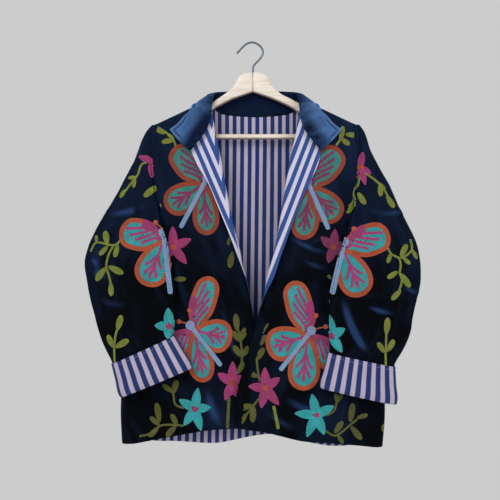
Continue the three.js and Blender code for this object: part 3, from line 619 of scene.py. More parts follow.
FLAT_END = ROUND_COLUMNS + FLAT_COLUMNS
front_grids = {
    "right": front_grid(-1, RIGHT_EDGE, RIGHT_HEM, False),
    "left": front_grid(1, LEFT_EDGE, LEFT_HEM, True),
}
print("front grids", front_grids["right"].shape)

# %% [markdown]
# ## The back
#
# The back is one grid from side seam to side seam. Its top follows the shoulders and the low curve of
# the neck.


# %% The back
def back_grid():
    columns = [("inset", step) for step in side_steps()]
    columns += [("between", 1 / 3), ("between", 2 / 3)]
    columns += [("neck", part) for part in (1, 0.93, 0.8, 0.55, 0.28, 0)]

    def half(column, width):
        kind, amount = column
        neck = NECK_R * width / ARMHOLE_R
        if kind == "inset":
            return width - amount
        if kind == "between":
            return (width - SIDE_ROUND) + (neck - width + SIDE_ROUND) * amount
        return neck * amount

    mirrored = [(-1, c) for c in columns] + [(1, c) for c in columns[-2::-1]]
    lines = []
    for side, column in mirrored:
        top_r = half(column, ARMHOLE_R)
        inside = column[0] == "neck" and column[1] < 1
        top = read(BACK_NECK, "r", top_r, "z") if inside else shoulder_z(top_r)
        hem = read(BACK_HEM, "x", side * half(column, HEM_R), "z")
        line = []
        for z in row_heights(top, UNDERARM_Z, hem):
            line.append((middle(z) + side * half(column, read(BACK_WIDTH, "z", z, "r")), z))
        lines.append(line)
    grid = []
    for row in range(len(lines[0])):
        points = []
        for (side, _), line in zip(mirrored, lines):
            x, z = line[row]
            level = lines[0 if side < 0 else -1][row][1]
            width = max(abs(x - middle(z)), read(BACK_WIDTH, "z", level, "r"))
            points.append([x, panel_depth(BACK, BACK_FOLDS, x, z, width), z])
        grid.append(points)
    return np.array(grid)


back = back_grid()
print("back grid", back.shape)

# %% [markdown]
# ## Which way the cloth faces
#
# Each wall of cloth is made by moving the grid out along its normals. At a seam the normals face straight
# across it, so that two neighbours meet cleanly.


# %% Normals of a grid
def unit(vectors):
    return vectors / np.maximum(np.linalg.norm(vectors, axis=-1, keepdims=True), 1e-9)


def grid_normals(grid, closed=False, flip=1, seam_top=False, seam_sides=(), first=None):
    rows, columns = grid.shape[:2]
    i, j = np.arange(rows), np.arange(columns)
    down = grid[np.minimum(rows - 1, i + 1)] - grid[np.maximum(0, i - 1)]
    after = (j + 1) % columns if closed else np.minimum(columns - 1, j + 1)
    before = (j - 1) % columns if closed else np.maximum(0, j - 1)
    normals = unit(np.cross(down, grid[:, after] - grid[:, before])) * flip
    if seam_top:
        normals[0, :, 1] = 0
    for side in seam_sides:
        normals[UNDER_ROW:, side, 1] = 0
    normals = unit(normals)
    if first is not None:
        normals[0] = first
    return normals


back_normals = grid_normals(back, flip=-1, seam_top=True, seam_sides=(0, -1))
front_normals = {
    name: grid_normals(front_grids[name], flip=-side, seam_top=True, seam_sides=(0,))
    for name, side in (("right", -1), ("left", 1))
}
print("normals ready")

# %% [markdown]
# ## The sleeves
#
# A sleeve starts on the edge of the armhole, just clear of the body, and runs through flat oval rings to
# the fold of its cuff. Seen from the front each ring is a line from its outer to its inner end.


# %% The sleeves
def armhole_loop(front, front_n, rear, rear_n, column):
    """Places, normals and ways out of the armhole, down its front edge and up its rear one"""
    step = 1 if column == 0 else -1

    def edge(grid, normals, col, inward):
        rows = np.arange(UNDER_ROW + 1)
        run = grid[np.minimum(UNDER_ROW, rows + 1), col] - grid[np.maximum(0, rows - 1), col]
        away = unit(grid[rows, col] - grid[rows, col + inward])
        normal = normals[rows, col]
        lead = unit(np.cross(normal, run))
        half = (UNDER_ROW + 1) // 2
        return grid[rows, col], normal, lead * np.sign(np.dot(lead[half], away[half]))

    def meet(row):
        places, *directions = (a[row] + b[row] for a, b in zip(fore, aft))
        return [places / 2] + [unit(direction) for direction in directions]

    fore = edge(front, front_n, 0, 1)
    aft = edge(rear, rear_n, column, step)
    top, low = meet(0), meet(-1)
    return [
        np.vstack([top[k], fore[k][1:UNDER_ROW], low[k], aft[k][1:UNDER_ROW][::-1]]) for k in range(3)
    ]


def sleeve_ring(ring, count):
    outer = np.array([ring["ox"], -ring["oy"], ring["oz"]])
    inner = np.array([ring["ix"], -ring["iy"], ring["iz"]])
    across = outer - inner
    half = np.linalg.norm(across) / 2 - SLEEVE_WALL
    angle = 2 * math.pi * np.arange(count) / count
    c, s = np.cos(angle), np.sin(angle)
    thick = ring["ib"] + (ring["ob"] - ring["ib"]) * (1 + c) / 2
    points = (outer + inner) / 2 + unit(across) * half * c[:, None]
    points[:, 1] -= thick * np.sign(s) * np.abs(s) ** SLEEVE_FLATNESS
    return points


def sleeve_grid(loop, tab):
    point, _, lead = loop
    rings = [point + lead * SLEEVE_SEAM, point + lead * SLEEVE_LEAD]
    for row in range(len(tab["ox"])):
        rings.append(sleeve_ring({key: column[row] for key, column in tab.items()}, len(point)))
    return np.array(rings)


print("sleeve helpers ready")


# %% The turned-back cuffs
def cuff_grid(sleeve, normals):
    """Rings down the outside of the cuff, round its fold and up inside the sleeve"""
    outside = SLEEVE_WALL + CUFF_CLEAR + CUFF_WALL / 2
    inside = -CUFF_CLEAR - CUFF_WALL / 2
    radius = (outside - inside) / 2
    down = sleeve[-1] - sleeve[-2]
    length = np.linalg.norm(down, axis=-1, keepdims=True)
    down = unit(down)
    normal = normals[-1]
    normal = unit(normal - down * (normal * down).sum(-1, keepdims=True))
    base = sleeve[-1] + down * CUFF_CLEAR
    rings = [base - down * length * part + normal * outside for part in (1, 0.5, 0)]
    for angle in (math.pi / 4, math.pi / 2, 3 * math.pi / 4):
        centre = base + normal * (outside + inside) / 2
        rings.append(centre + normal * radius * math.cos(angle) + down * radius * math.sin(angle))
    rings += [base + normal * inside, base - down * CUFF_INSIDE + normal * inside]
    return np.array(rings)


SIDES = (("right", -1, RIGHT_SLEEVE, 0), ("left", 1, LEFT_SLEEVE, back.shape[1] - 1))
sleeves, sleeve_normals, cuffs = {}, {}, {}
for name, side, tab, column in SIDES:
    loop = armhole_loop(front_grids[name], front_normals[name], back, back_normals, column)
    sleeves[name] = sleeve_grid(loop, tab)
    sleeve_normals[name] = grid_normals(sleeves[name], closed=True, flip=-side, first=loop[1])
    cuffs[name] = cuff_grid(sleeves[name], sleeve_normals[name])
print("sleeve grid", sleeves["right"].shape, "cuff grid", cuffs["right"].shape)

# %% [markdown]
# ## The collar
#
# The collar is one strip folded in half along its length: it stands up from the neck seam and falls back
# outside. Each station is a hairpin, and every point is moved out until it lies clear of the shoulder.


# %% The collar
def rest_on_shoulder(point):
    x, y, z = point
    r = abs(x - COLLAR_SHIFT)
    if r < COLLAR_RESTS_FROM:
        return point
    centre = shoulder_z(r) - CROWN
    if z > centre:
        slant = math.sqrt(1 + SHOULDER_SLOPE**2)
        rise = (z - centre) / slant
        grow = max(1, (CROWN + COLLAR_CLEAR) / math.hypot(y, rise))
        return np.array([x, y * grow, centre + rise * grow * slant])
    panel = {"depth": FRONT["depth"] if y < 0 else BACK["depth"], "swell": FRONT["swell"]}
    least = panel_depth(panel, [], x, z, ARMHOLE_R + SIDE_ROUND) + COLLAR_CLEAR
    lapel = LAPEL_LIFT["height"] * smooth((LAPEL_LIFT["top"] - z) / (LAPEL_LIFT["top"] - LAPEL_LIFT["full"]))
    lapel *= smooth((LAPEL_LIFT["outer"] - r) / (LAPEL_LIFT["outer"] - LAPEL_LIFT["inner"]))
    return np.array([x, min(y, -least - lapel) if y < 0 else max(y, least), z])


def catmull(points, at):
    """The centripetal curve that CAD uses through its stations"""
    last = len(points) - 1
    place = at * last
    i = min(last - 1, int(place))
    p = [points[i - 1] if i > 0 else 2 * points[0] - points[1], points[i], points[i + 1]]
    p.append(points[i + 2] if i + 2 <= last else 2 * points[last] - points[last - 1])
    gaps = [max(1e-4, np.linalg.norm(p[k + 1] - p[k]) ** 0.5) for k in range(3)]
    first = (p[1] - p[0]) / gaps[0] - (p[2] - p[0]) / (gaps[0] + gaps[1]) + (p[2] - p[1]) / gaps[1]
    second = (p[2] - p[1]) / gaps[1] - (p[3] - p[1]) / (gaps[1] + gaps[2]) + (p[3] - p[2]) / gaps[2]
    return hermite(place - i, p[1], p[2], first * gaps[1], second * gaps[1])


def collar_grid(stations=65):
    def row(side, i):
        parts = []
        for key in "fne":
            r, y, z = (COLLAR[key + c][i] for c in "ryz")
            parts.append(np.array([COLLAR_SHIFT + side * r, y, z]))
        return parts

    count = len(COLLAR["fr"])
    rows = [row(-1, i) for i in range(count)] + [row(1, i) for i in range(count - 2, -1, -1)]
    curves = [[r[k] for r in rows] for k in range(3)]
    grid = []
    for i in range(stations):
        fold, neck, edge = (catmull(curve, i / (stations - 1)) for curve in curves)
        neck, edge = rest_on_shoulder(neck), rest_on_shoulder(edge)
        up = unit(fold - (neck + edge) / 2)
        out = edge - neck
        out = unit(out - up * out.dot(up))
        centre = fold - up * COLLAR_FOLD
        bend = []
        for degrees in FOLD_ANGLES:
            a = math.radians(degrees)
            bend.append(centre - out * COLLAR_FOLD * math.cos(a) + up * COLLAR_FOLD * math.sin(a))
        fall = []
        for t in (1 / 3, 2 / 3, 1):
            swell = COLLAR_SWELL * math.sin(math.pi * t) * (1 - t / 2)
            fall.append(rest_on_shoulder(bend[-1] + (edge - bend[-1]) * t + out * swell))
        grid.append([rest_on_shoulder(p) for p in [neck, (neck + bend[0]) / 2, *bend, *fall]])
    return np.array(grid)


collar = collar_grid()
collar_normals = grid_normals(collar)
print("collar grid", collar.shape)

# %% [markdown]
# ## From a coarse grid to smooth cloth
#
# A smooth curve is drawn through every row and column, so a few dozen points become cloth that can hold
# creases. Positions and normals are carried together, so the cloth keeps the thickness of its solid.


# %% Finer grids
def finer_rows(points, step, closed=False):
    """A smooth curve down each column; returns the points and the new index of each old row"""
    wrapped = np.concatenate([points, points[:1]]) if closed else points
    spans = np.diff(wrapped, axis=0)
    gaps = np.maximum(np.linalg.norm(spans[..., :3], axis=2).mean(axis=1), 1e-6)
    h = gaps[:, None, None]
    slopes = spans / h
    inner = (h[:-1] * slopes[1:] + h[1:] * slopes[:-1]) / (h[:-1] + h[1:])
    if closed:
        joint = (h[-1:] * slopes[:1] + h[:1] * slopes[-1:]) / (h[-1:] + h[:1])
        tangents = np.concatenate([joint, inner, joint])
    else:
        tangents = np.concatenate([slopes[:1], inner, slopes[-1:]])
    rows, knots = [], []
    for i, gap in enumerate(gaps):
        knots.append(len(rows))
        count = max(1, round(gap / step))
        for t in np.arange(count) / count:
            rows.append(hermite(t, wrapped[i], wrapped[i + 1], gap * tangents[i], gap * tangents[i + 1]))
    if not closed:
        knots.append(len(rows))
        rows.append(wrapped[-1])
    return np.array(rows), knots


def finer(grid, normals, steps, closed=False):
    """A grid and its normals at about the given steps in millimetres, down and across"""
    both = np.concatenate([grid, normals], axis=2)
    both, row_knots = finer_rows(both, steps[0])
    turned, column_knots = finer_rows(both.transpose(1, 0, 2), steps[1], closed)
    both = turned.transpose(1, 0, 2)
    return both[..., :3].copy(), unit(both[..., 3:]), row_knots, column_knots


def lengths(points, axis, start):
    """How far each point lies along its row or column, from the one at start"""
    spans = np.linalg.norm(np.diff(points, axis=axis), axis=2)
    pad = [(0, 0), (0, 0)]
    pad[axis] = (1, 0)
    total = np.pad(np.cumsum(spans, axis=axis), pad)
    return total - np.take(total, [start], axis=axis)


print("finer grids ready")

# %% [markdown]
# ## Creases
#
# A crease is a line on the cloth with a height and a width: a soft ridge with a shallow trough beside it,
# fading toward its ends. The main ones are placed from the way the jacket hangs. Slow waves
# keep the rest of the cloth from looking pressed. Near seams the movement fades out.


# %% Creases and slow waves
def crease(points, lines):
    """How far the creases raise the cloth; a line gives two ends, a width and a height"""
    x, z = points[..., 0], points[..., 2]
    rise = np.zeros(x.shape)
    for x0, z0, x1, z1, width, height in lines:
        dx, dz = x1 - x0, z1 - z0
        length = math.hypot(dx, dz)
        s = ((x - x0) * dx + (z - z0) * dz) / length**2
        bow = 0.06 * length * np.sin(np.pi * np.clip(s, 0, 1))
        off = ((x - x0) * dz - (z - z0) * dx) / length - bow
        ends = np.clip(np.sin(np.pi * np.clip(s, -0.1, 1.1)), 0, 1) ** 0.6
        ridge = np.exp(-((off / width) ** 2)) - 0.55 * np.exp(-(((off - 1.7 * width) / width) ** 2))
        rise += height * ends * ridge
    return rise


def waves(u, v, seed, height):
    """Slow waves of four sizes; the seed moves them along"""
    total = np.zeros(u.shape)
    for k, (wide, tall) in enumerate([(95, 240), (61, 150), (38, 83), (23, 47)]):
        a, b = seed * 1.7 + k * 2.1, seed * 0.9 + k * 1.3
        bent = u + 14 * np.sin(v / 70 + b)
        total += np.sin(bent * 2 * np.pi / wide + a) * np.sin(v * 2 * np.pi / tall + b) / (1 + k)
    return total * height


def fade(distance, width):
    """0 at no distance and 1 from the given width on, softly"""
    s = np.clip(distance / width, 0, 1)
    return s * s * (3 - 2 * s)


print("crease helpers ready")

# %% [markdown]
# ## Turning a grid into a wall of cloth
#
# The grid is copied twice, to the near and to the far face of the cloth, and a rim joins the two along
# each free edge. The UV map holds lengths in metres. It is given at the corners of the faces, so that a
# sleeve can be welded into a ring and still have an end to its stripes. Smooth shading by angle keeps the
# rim crisp.


# %% A wall of cloth
def pick(piece):
    """Select one object and nothing else"""
    bpy.ops.object.select_all(action="DESELECT")
    piece.select_set(True)
    bpy.context.view_layer.objects.active = piece


def declare(piece, replaces=(), degrees=40):
    pick(piece)
    bpy.ops.object.shade_smooth_by_angle(angle=math.radians(degrees))
    piece.select_set(False)
    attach(piece, "root")
    if replaces:
        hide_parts(*replaces)


def make_piece(name, points, faces, materials, replaces=(), material_index=None, uv=None, painted_light_and_wear=None):
    mesh = bpy.data.meshes.new(name)
    mesh.from_pydata((np.asarray(points) * MM).tolist(), [], np.asarray(faces).tolist())
    for material in materials:
        mesh.materials.append(material)
    if uv is not None:
        mesh.uv_layers.new(name="cloth").data.foreach_set("uv", (uv * MM).astype(np.float32).ravel())
    if painted_light_and_wear is not None:
        mesh.attributes.new("painted_light_and_wear", "FLOAT", "POINT").data.foreach_set("value", painted_light_and_wear.astype(np.float32))
    if material_index is not None:
        mesh.polygons.foreach_set("material_index", np.asarray(material_index, dtype=np.int32))
    piece = bpy.data.objects.new(name, mesh)
    bpy.context.scene.collection.objects.link(piece)
    declare(piece, replaces)
    return piece


def grid_quads(index):
    return np.stack([index[:-1, :-1], index[1:, :-1], index[1:, 1:], index[:-1, 1:]], -1).reshape(-1, 4)


def wall(name, points, normals, faces, uv, look, node, closed=False, painted_light_and_wear=None):
    """A wall of cloth between two distances from a grid; look holds its material and a slot name, which is not
    used
    """
    rows, columns = points.shape[:2]
    wide = columns + 1 if closed else columns
    index = np.arange(rows * wide).reshape(rows, wide)
    other = index + rows * wide
    quads = [grid_quads(index), grid_quads(other)[:, [0, 3, 2, 1]]]
    rims = [(index[0], other[0], 1), (index[-1], other[-1], -1)]
    if not closed:
        rims += [(index[:, 0], other[:, 0], -1), (index[:, -1], other[:, -1], 1)]
    for a, b, turn in rims:
        rim = np.stack([a[:-1], a[1:], b[1:], b[:-1]], -1)
        quads.append(rim if turn > 0 else rim[:, ::-1])
    quads = np.concatenate(quads)
    own = np.arange(rows * columns).reshape(rows, columns)
    own = own[:, np.arange(wide) % columns].ravel()
    own = np.concatenate([own, own + rows * columns])
    far, near = points + normals * faces[1], points + normals * faces[0]
    vertices = np.concatenate([far.reshape(-1, 3), near.reshape(-1, 3)])
    a, b, c = (vertices[own[quads[:, k]]] for k in range(3))
    if (a * np.cross(b, c)).sum() < 0:
        quads = quads[:, ::-1]
    corners = np.concatenate([np.stack(uv, -1).reshape(-1, 2)] * 2)[quads].reshape(-1, 2)
    marks = np.zeros((rows, columns)) if painted_light_and_wear is None else painted_light_and_wear
    material, slot = look
    piece = make_piece(
        name, vertices, own[quads], [material], [node], uv=corners, painted_light_and_wear=np.tile(marks.ravel(), 2)
    )
    print(name, "quads", len(quads))
    return piece, far


print("cloth maker ready")

# %% [markdown]
# ## Back and fronts
#
# The back and the two fronts each carry velvet outside and striped cotton inside. Both walls follow the
# same creased grid, so they never cross. Stripes run down the back from its middle, and on the fronts they
# run beside the free edge, as the lapels show. Below the V the lining's free edge is drawn back a little, as
# a tailor rolls it, so that it doesn't show.

# %% Creases of the body
RIGHT_FRONT_CREASES = [
    (-60, -520, -20, -640, 9, 2.2), (-90, -680, -60, -765, 12, 2.6), (-118, -560, -112, -660, 10, -1.6),
    (-150, -420, -120, -540, 10, 1.6), (-120, -180, -100, -215, 8, -1.2), (-10, -600, 0, -740, 8, 1.4),
]
LEFT_FRONT_CREASES = [
    (70, -385, 150, -420, 8, 2.4), (95, -430, 152, -452, 7, 2.2), (80, -470, 140, -455, 8, -2.0),
    (110, -398, 140, -388, 6, 1.6), (60, -700, 140, -735, 10, 2.4), (20, -720, 90, -765, 9, 2.0),
    (-20, -560, 5, -700, 8, 1.6), (150, -215, 172, -260, 9, 1.8),
]
BACK_CREASES = [
    (-150, -210, -120, -330, 11, 2.2), (150, -210, 128, -320, 10, 2.4), (-60, -200, -30, -270, 9, -1.6),
    (60, -190, 20, -280, 10, 1.8), (-180, -420, -110, -470, 9, 2.6), (185, -410, 120, -455, 9, 2.4),
    (-90, -560, -70, -760, 14, 3.0), (95, -540, 70, -770, 14, 2.8), (0, -600, 12, -780, 12, -2.4),
]
print("creases", len(RIGHT_FRONT_CREASES + LEFT_FRONT_CREASES + BACK_CREASES))


# %% Back and fronts
BODY_LOOK, COLLAR_LOOK = (VELVET, "velvet"), (COLLAR_VELVET, "velvet")
SHADED_STRIPES, LIT_STRIPES = (SHADED_STRIPE, "lining"), (LIT_STRIPE, "lining")
CUFF_STRIPES = (CUFF_STRIPE, "lining")
HELD = {"side": 34, "top": 45, "free_edge": 22}


def crease_highlight(ridges, height=2.4, sharp=3.2, most=0.95):
    """How much painted highlight the tops of the sharper creases get"""
    return np.clip(ridges / height, 0, 1) ** sharp * most


def pressed(points, normals, lines, seed, free, height=0.8):
    """Move the cloth along its normals, but not at its seams, its neck or its rolled edge"""
    u, v = lengths(points, 1, 0), lengths(points, 0, 0)
    ridges = crease(points, lines)
    if free is None:
        held = fade(u[:, -1:] - u, HELD["side"])
    else:
        held = fade(u[:, free : free + 1] - u, HELD["free_edge"])
    held = held * fade(u, HELD["side"]) * fade(v, HELD["top"])
    move = (ridges + waves(u, v, seed, height)) * held
    return points + normals * move[..., None], crease_highlight(ridges * held)


def beside_edge(points, inner, line=(-463, -226)):
    """Stripes that run straight beside the free edge on the lapel, and on by length behind it"""
    u, v = lengths(points, 1, inner), lengths(points, 0, 0)
    edge = points[:, -1]
    low, high = (np.argmin(np.abs(edge[:, 2] - z)) for z in line)
    way = edge[high] - edge[low]
    away = (points - edge[low]) @ unit(np.array([-way[2], 0, way[0]]))
    base = away[:, inner : inner + 1]
    flat = np.abs(away[:, -1:] - base) / np.maximum(u[:, -1:], 1)
    lapel = np.arange(points.shape[1]) >= inner
    return np.where(lapel, away, base - np.sign(np.median(base)) * u * np.clip(flat, 0.85, 1)), v


surfaces, cloths = {}, {}
points, normals, _, _ = finer(back, back_normals, (6, 6))
points, painted_light_and_wear = pressed(points, normals, BACK_CREASES, 1, None)
uv = lengths(points, 1, points.shape[1] // 2), lengths(points, 0, 0)
cloths["back"], surfaces["back"] = wall(
    "back_velvet", points, normals, VELVET_WALL, uv, BODY_LOOK, "back", painted_light_and_wear=painted_light_and_wear
)
cloths["lining_back"], _ = wall("back_stripes", points, normals, LINING_WALL, uv, SHADED_STRIPES, "lining_back")

FRONT_CREASES = {"right": RIGHT_FRONT_CREASES, "left": LEFT_FRONT_CREASES}
LINING_BACK = {"by": 2.2, "from": -480, "full": -520}
for seed, name in enumerate(("right", "left")):
    points, normals, _, knots = finer(front_grids[name], front_normals[name], (5, 4))
    free = knots[FLAT_END]
    points, painted_light_and_wear = pressed(points, normals, FRONT_CREASES[name], 3 + seed, free)
    uv = beside_edge(points, knots[FLAT_END + ROLL_COLUMNS])
    node = "front_" + name
    cloths[node], far = wall(node + "_velvet", points, normals, VELVET_WALL, uv, BODY_LOOK, node, painted_light_and_wear=painted_light_and_wear)
    surfaces[node] = far[:, : free + 1]
    below = fade(LINING_BACK["from"] - points[:, -1, 2], LINING_BACK["from"] - LINING_BACK["full"])
    inward = unit(points[:, -3] - points[:, -1]) * LINING_BACK["by"] * below[:, None]
    points[:, -1] += inward
    points[:, -2] += inward * 0.4
    cloths["lining_" + node], _ = wall(
        node + "_stripes", points, normals, LINING_WALL, uv, LIT_STRIPES, "lining_" + node
    )

# %% [markdown]
# ## Sleeves and turned-back cuffs
#
# The elbows crease most: ridges with painted highlights cross the sleeve at the inside of the elbow and below
# it. The cuff is the sleeve's own lining folded out, so its stripes run across the fold, and it stays smooth.

# %% Creases of the sleeves
RIGHT_SLEEVE_CREASES = [
    (-285, -345, -200, -325, 8, 2.6), (-300, -400, -290, -470, 9, 2.0), (-230, -330, -195, -352, 7, -1.8),
    (-318, -455, -270, -462, 7, 1.8), (-300, -505, -235, -520, 9, 1.8), (-215, -190, -222, -250, 8, 1.6),
    (-200, -500, -186, -600, 12, -1.8), (-240, -600, -250, -640, 10, 1.4), (-300, -440, -316, -430, 6, 1.6),
]
LEFT_SLEEVE_CREASES = [
    (170, -500, 228, -625, 10, 3.2), (215, -518, 272, -535, 7, 2.6), (250, -342, 296, -338, 7, 2.2),
    (285, -480, 320, -497, 6, 2.4), (215, -330, 260, -345, 8, 1.6), (222, -190, 228, -250, 8, 1.4),
    (240, -590, 280, -600, 9, 1.8), (300, -520, 310, -560, 8, -1.6), (190, -500, 250, -495, 8, 1.2),
]
SLEEVE_CREASES = {"right": RIGHT_SLEEVE_CREASES, "left": LEFT_SLEEVE_CREASES}
print("creases", {name: len(lines) for name, lines in SLEEVE_CREASES.items()})


# %% Sleeves and cuffs
SLEEVE_HELD = {"seam": 40, "cuff": 30}


def ring_uv(points):
    """Lengths round and along a ring, with the first column again at its end"""
    round_ring = np.concatenate([points, points[:, :1]], axis=1)
    return lengths(round_ring, 1, 0), lengths(round_ring, 0, 0)


for seed, (name, side, *_) in enumerate(SIDES):
    points, normals, knots, _ = finer(sleeves[name], sleeve_normals[name], (4, 4), closed=True)
    u, v = lengths(points, 1, 0), lengths(points, 0, 0)
    held = fade(v, SLEEVE_HELD["seam"]) * fade(-lengths(points, 0, knots[-2]), SLEEVE_HELD["cuff"])
    ridges = crease(points, SLEEVE_CREASES[name]) * held
    points = points + normals * (ridges + waves(u, v, 6 + seed, 1.0) * held)[..., None]
    node = "sleeve_" + name
    cloths[node], far = wall(
        node + "_velvet", points, normals, (0, SLEEVE_WALL), ring_uv(points), BODY_LOOK, node, closed=True,
        painted_light_and_wear=crease_highlight(ridges),
    )
    surfaces[node] = far[: knots[-2] + 1]
    normals = grid_normals(cuffs[name], closed=True, flip=-side)
    points, normals, _, _ = finer(cuffs[name], normals, (3, 4), closed=True)
    u, v = ring_uv(points)
    u = np.repeat(u[:1], len(u), axis=0)
    node = "cuff_" + name
    cloths[node], surfaces[node] = wall(
        node + "_stripes", points, normals, (-CUFF_WALL / 2, CUFF_WALL / 2), (u, v), CUFF_STRIPES, node,
        closed=True,
    )

# %% [markdown]
# ## The collar's seam
#
# The topstitching pulls the velvet down in a shallow groove beside the edge, and the groove is darkened with
# painted shade. Both sides of the groove are paler, partly rubbed pile and partly painted highlight, and the
# fall on the sides gets a painted highlight. The stand, inside the neck, gets painted shade and stays dark.
# The roll beside the neck gets a lighter painted shade, between the two.

# %% Collar
# The groove's dark is painted shade in the groove
GROOVE = {"inset": 6.5, "width": 1.5, "deep": 0.7, "dark": 0.5}
# Pale lines at the edge and beside the groove: partly rubbed pile, partly painted highlight
PALE_LINES = [(0, 2.5, 0.5), (10, 2.0, 0.35)]
# The fall's pale is a painted highlight on the sides of the collar
FALL = {"from": 30, "over": 20, "side": 50, "side_over": 40, "pale": 0.3}
# The stand inside the neck and the roll beside it are darkened with painted shade
STAND = {"past_fold": 9, "over": 24, "front": -12, "front_over": 14}
ROLL = {"at": 84, "opens_below": -136, "opening": 0.6, "wide": 20, "over": 24, "dark": 0.27}
END_COLUMNS = {"until": 42, "away": 60}

points, normals, _, knots = finer(collar, collar_normals, (5, 2.5))
u, v = lengths(points, 0, 0), lengths(points, 1, 0)
fold = v[:, knots[4] : knots[4] + 1]
# painted shade on the stand inside the neck
painted_neck_shade = fade(fold + STAND["past_fold"] - v, STAND["over"])
painted_neck_shade = painted_neck_shade * fade(points[..., 1] - STAND["front"], STAND["front_over"])
from_end = np.minimum(u, u[-1:] - u) + END_COLUMNS["away"] * (v < END_COLUMNS["until"])
from_edge = np.minimum(v[:, -1:] - v, from_end)
groove = np.exp(-(((from_edge - GROOVE["inset"]) / GROOVE["width"]) ** 2))
points = points - normals * (groove * GROOVE["deep"])[..., None]
# painted shade in the groove, then paler lines that are partly painted highlight
painted_light_and_wear = -GROOVE["dark"] * groove
for at, width, pale in PALE_LINES:
    painted_light_and_wear += pale * np.exp(-(((from_edge - at) / width) ** 2))
from_middle = np.abs(points[..., 0] - COLLAR_SHIFT)
sides = fade(from_middle - FALL["side"], FALL["side_over"])
# painted highlight on the fall at the sides
painted_light_and_wear += FALL["pale"] * fade(v - FALL["from"], FALL["over"]) * sides
roll = ROLL["at"] + ROLL["opening"] * np.maximum(0, ROLL["opens_below"] - points[..., 2])
# painted shade along the roll beside the neck
painted_neck_shade = np.maximum(painted_neck_shade, ROLL["dark"] * fade(roll + ROLL["wide"] - from_middle, ROLL["over"]))
cloths["collar"], surfaces["collar"] = wall(
    "collar_velvet", points, normals, (-COLLAR_WALL / 2, COLLAR_WALL / 2), (u, v), COLLAR_LOOK, "collar",
    painted_light_and_wear=np.clip(painted_light_and_wear, 0, 1) - painted_neck_shade,
)

# %% [markdown]
# ## The hanger
#
# The wooden halves keep their CAD shape. A copy of each is merged, because a CAD mesh is loose triangles,
# and its sanded edges are shaded smooth. The bar is a cylinder with softened ends, and the hook is a round
# wire along a curve.

# %% The hanger
for node in ("hanger_arm_right", "hanger_arm_left"):
    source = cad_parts[node]
    arm = source.copy()
    arm.data = source.data.copy()
    arm.name = node + "_beech"
    bpy.context.scene.collection.objects.link(arm)
    for key in list(arm.keys()):
        del arm[key]
    pick(arm)
    bpy.ops.object.mode_set(mode="EDIT")
    bpy.ops.mesh.select_all(action="SELECT")
    bpy.ops.mesh.remove_doubles(threshold=0.00002)
    bpy.ops.object.mode_set(mode="OBJECT")
    arm.data.materials.clear()
    arm.data.materials.append(wood.material)
    declare(arm, [node], 38)
    print(arm.name, len(arm.data.polygons))

BAR = {"z": -186.6, "radius": 5.4, "left": -183, "right": 191, "soft": 0.8}
bpy.ops.object.select_all(action="DESELECT")
bpy.ops.mesh.primitive_cylinder_add(
    vertices=40,
    radius=BAR["radius"] * MM,
    depth=(BAR["right"] - BAR["left"]) * MM,
    location=((BAR["left"] + BAR["right"]) / 2 * MM, 0, BAR["z"] * MM),
    rotation=(0, math.pi / 2, 0),
)
bar = bpy.context.object
bar.name = "hanger_bar_beech"
bpy.ops.object.transform_apply(location=True, rotation=True, scale=True)
soft = bar.modifiers.new("soft_ends", "BEVEL")
soft.width = BAR["soft"] * MM
soft.segments = 3
soft.limit_method = "ANGLE"
bpy.ops.object.modifier_apply(modifier="soft_ends")
bar.data.materials.append(wood.material)
declare(bar, ["hanger_bar"])

HOOK_STEPS, HOOK_RADIUS = 90, 2
HOOK_PATH = [
    (0.8, -72), (0.8, -56), (2, -45.4), (6.6, -39.4), (13.8, -32.2), (18.8, -25), (21, -16.8), (18.8, -9.5),
    (11.8, -2.2), (4, 1.4), (-3.6, 2), (-11.8, -0.8), (-21, -8.8), (-31.2, -20),
]
wire = bpy.data.curves.new("hanger_hook_steel", "CURVE")
wire.dimensions = "3D"
wire.bevel_depth = HOOK_RADIUS * MM
wire.bevel_resolution = 5
wire.use_fill_caps = True
bends = [np.array([x, 0.0, z]) for x, z in HOOK_PATH]
stations = [catmull(bends, i / HOOK_STEPS) for i in range(HOOK_STEPS + 1)]
line = wire.splines.new("POLY")
line.points.add(len(stations) - 1)
for point, place in zip(line.points, stations):
    point.co = (*(place * MM), 1)
hook = bpy.data.objects.new("hanger_hook_steel", wire)
bpy.context.scene.collection.objects.link(hook)
pick(hook)
bpy.ops.object.convert(target="MESH")
hook = bpy.context.object
hook.data.materials.append(steel.material)
declare(hook, ["hanger_hook"])
print("hanger ready")

# %% [markdown]
# ## One chain stitch
#
# The motifs are worked in chain stitch: each stitch is a small loop of yarn that the next one starts in.
# One loop is a flat ring, raised along its middle and hollow at its centre. Thousands of them are needed,
# so a loop has only 18 faces and all those of a panel become one mesh. A frame holds the loop's length,
# width and height as three vectors.

# %% One chain stitch
STITCH = {"length": 4.5, "width": 2.6, "height": 1.25, "pitch": 3.5, "row": 2.3}
around = np.arange(6) * math.pi / 3
ring = np.stack([np.cos(around) * 0.5, np.sin(around) * 0.577, np.full(6, -0.35)], -1)
LOOP = np.concatenate([ring, ring * (0.6, 0.6, 0) + (0, 0, 1.0), [(0, 0, 0.1)]])
LOOP_FACES = [(k, (k + 1) % 6, 6 + (k + 1) % 6) for k in range(6)]
LOOP_FACES += [(k, 6 + (k + 1) % 6, 6 + k) for k in range(6)]
LOOP_FACES += [(6 + k, 6 + (k + 1) % 6, 12) for k in range(6)]
LOOP_FACES = np.array(LOOP_FACES)


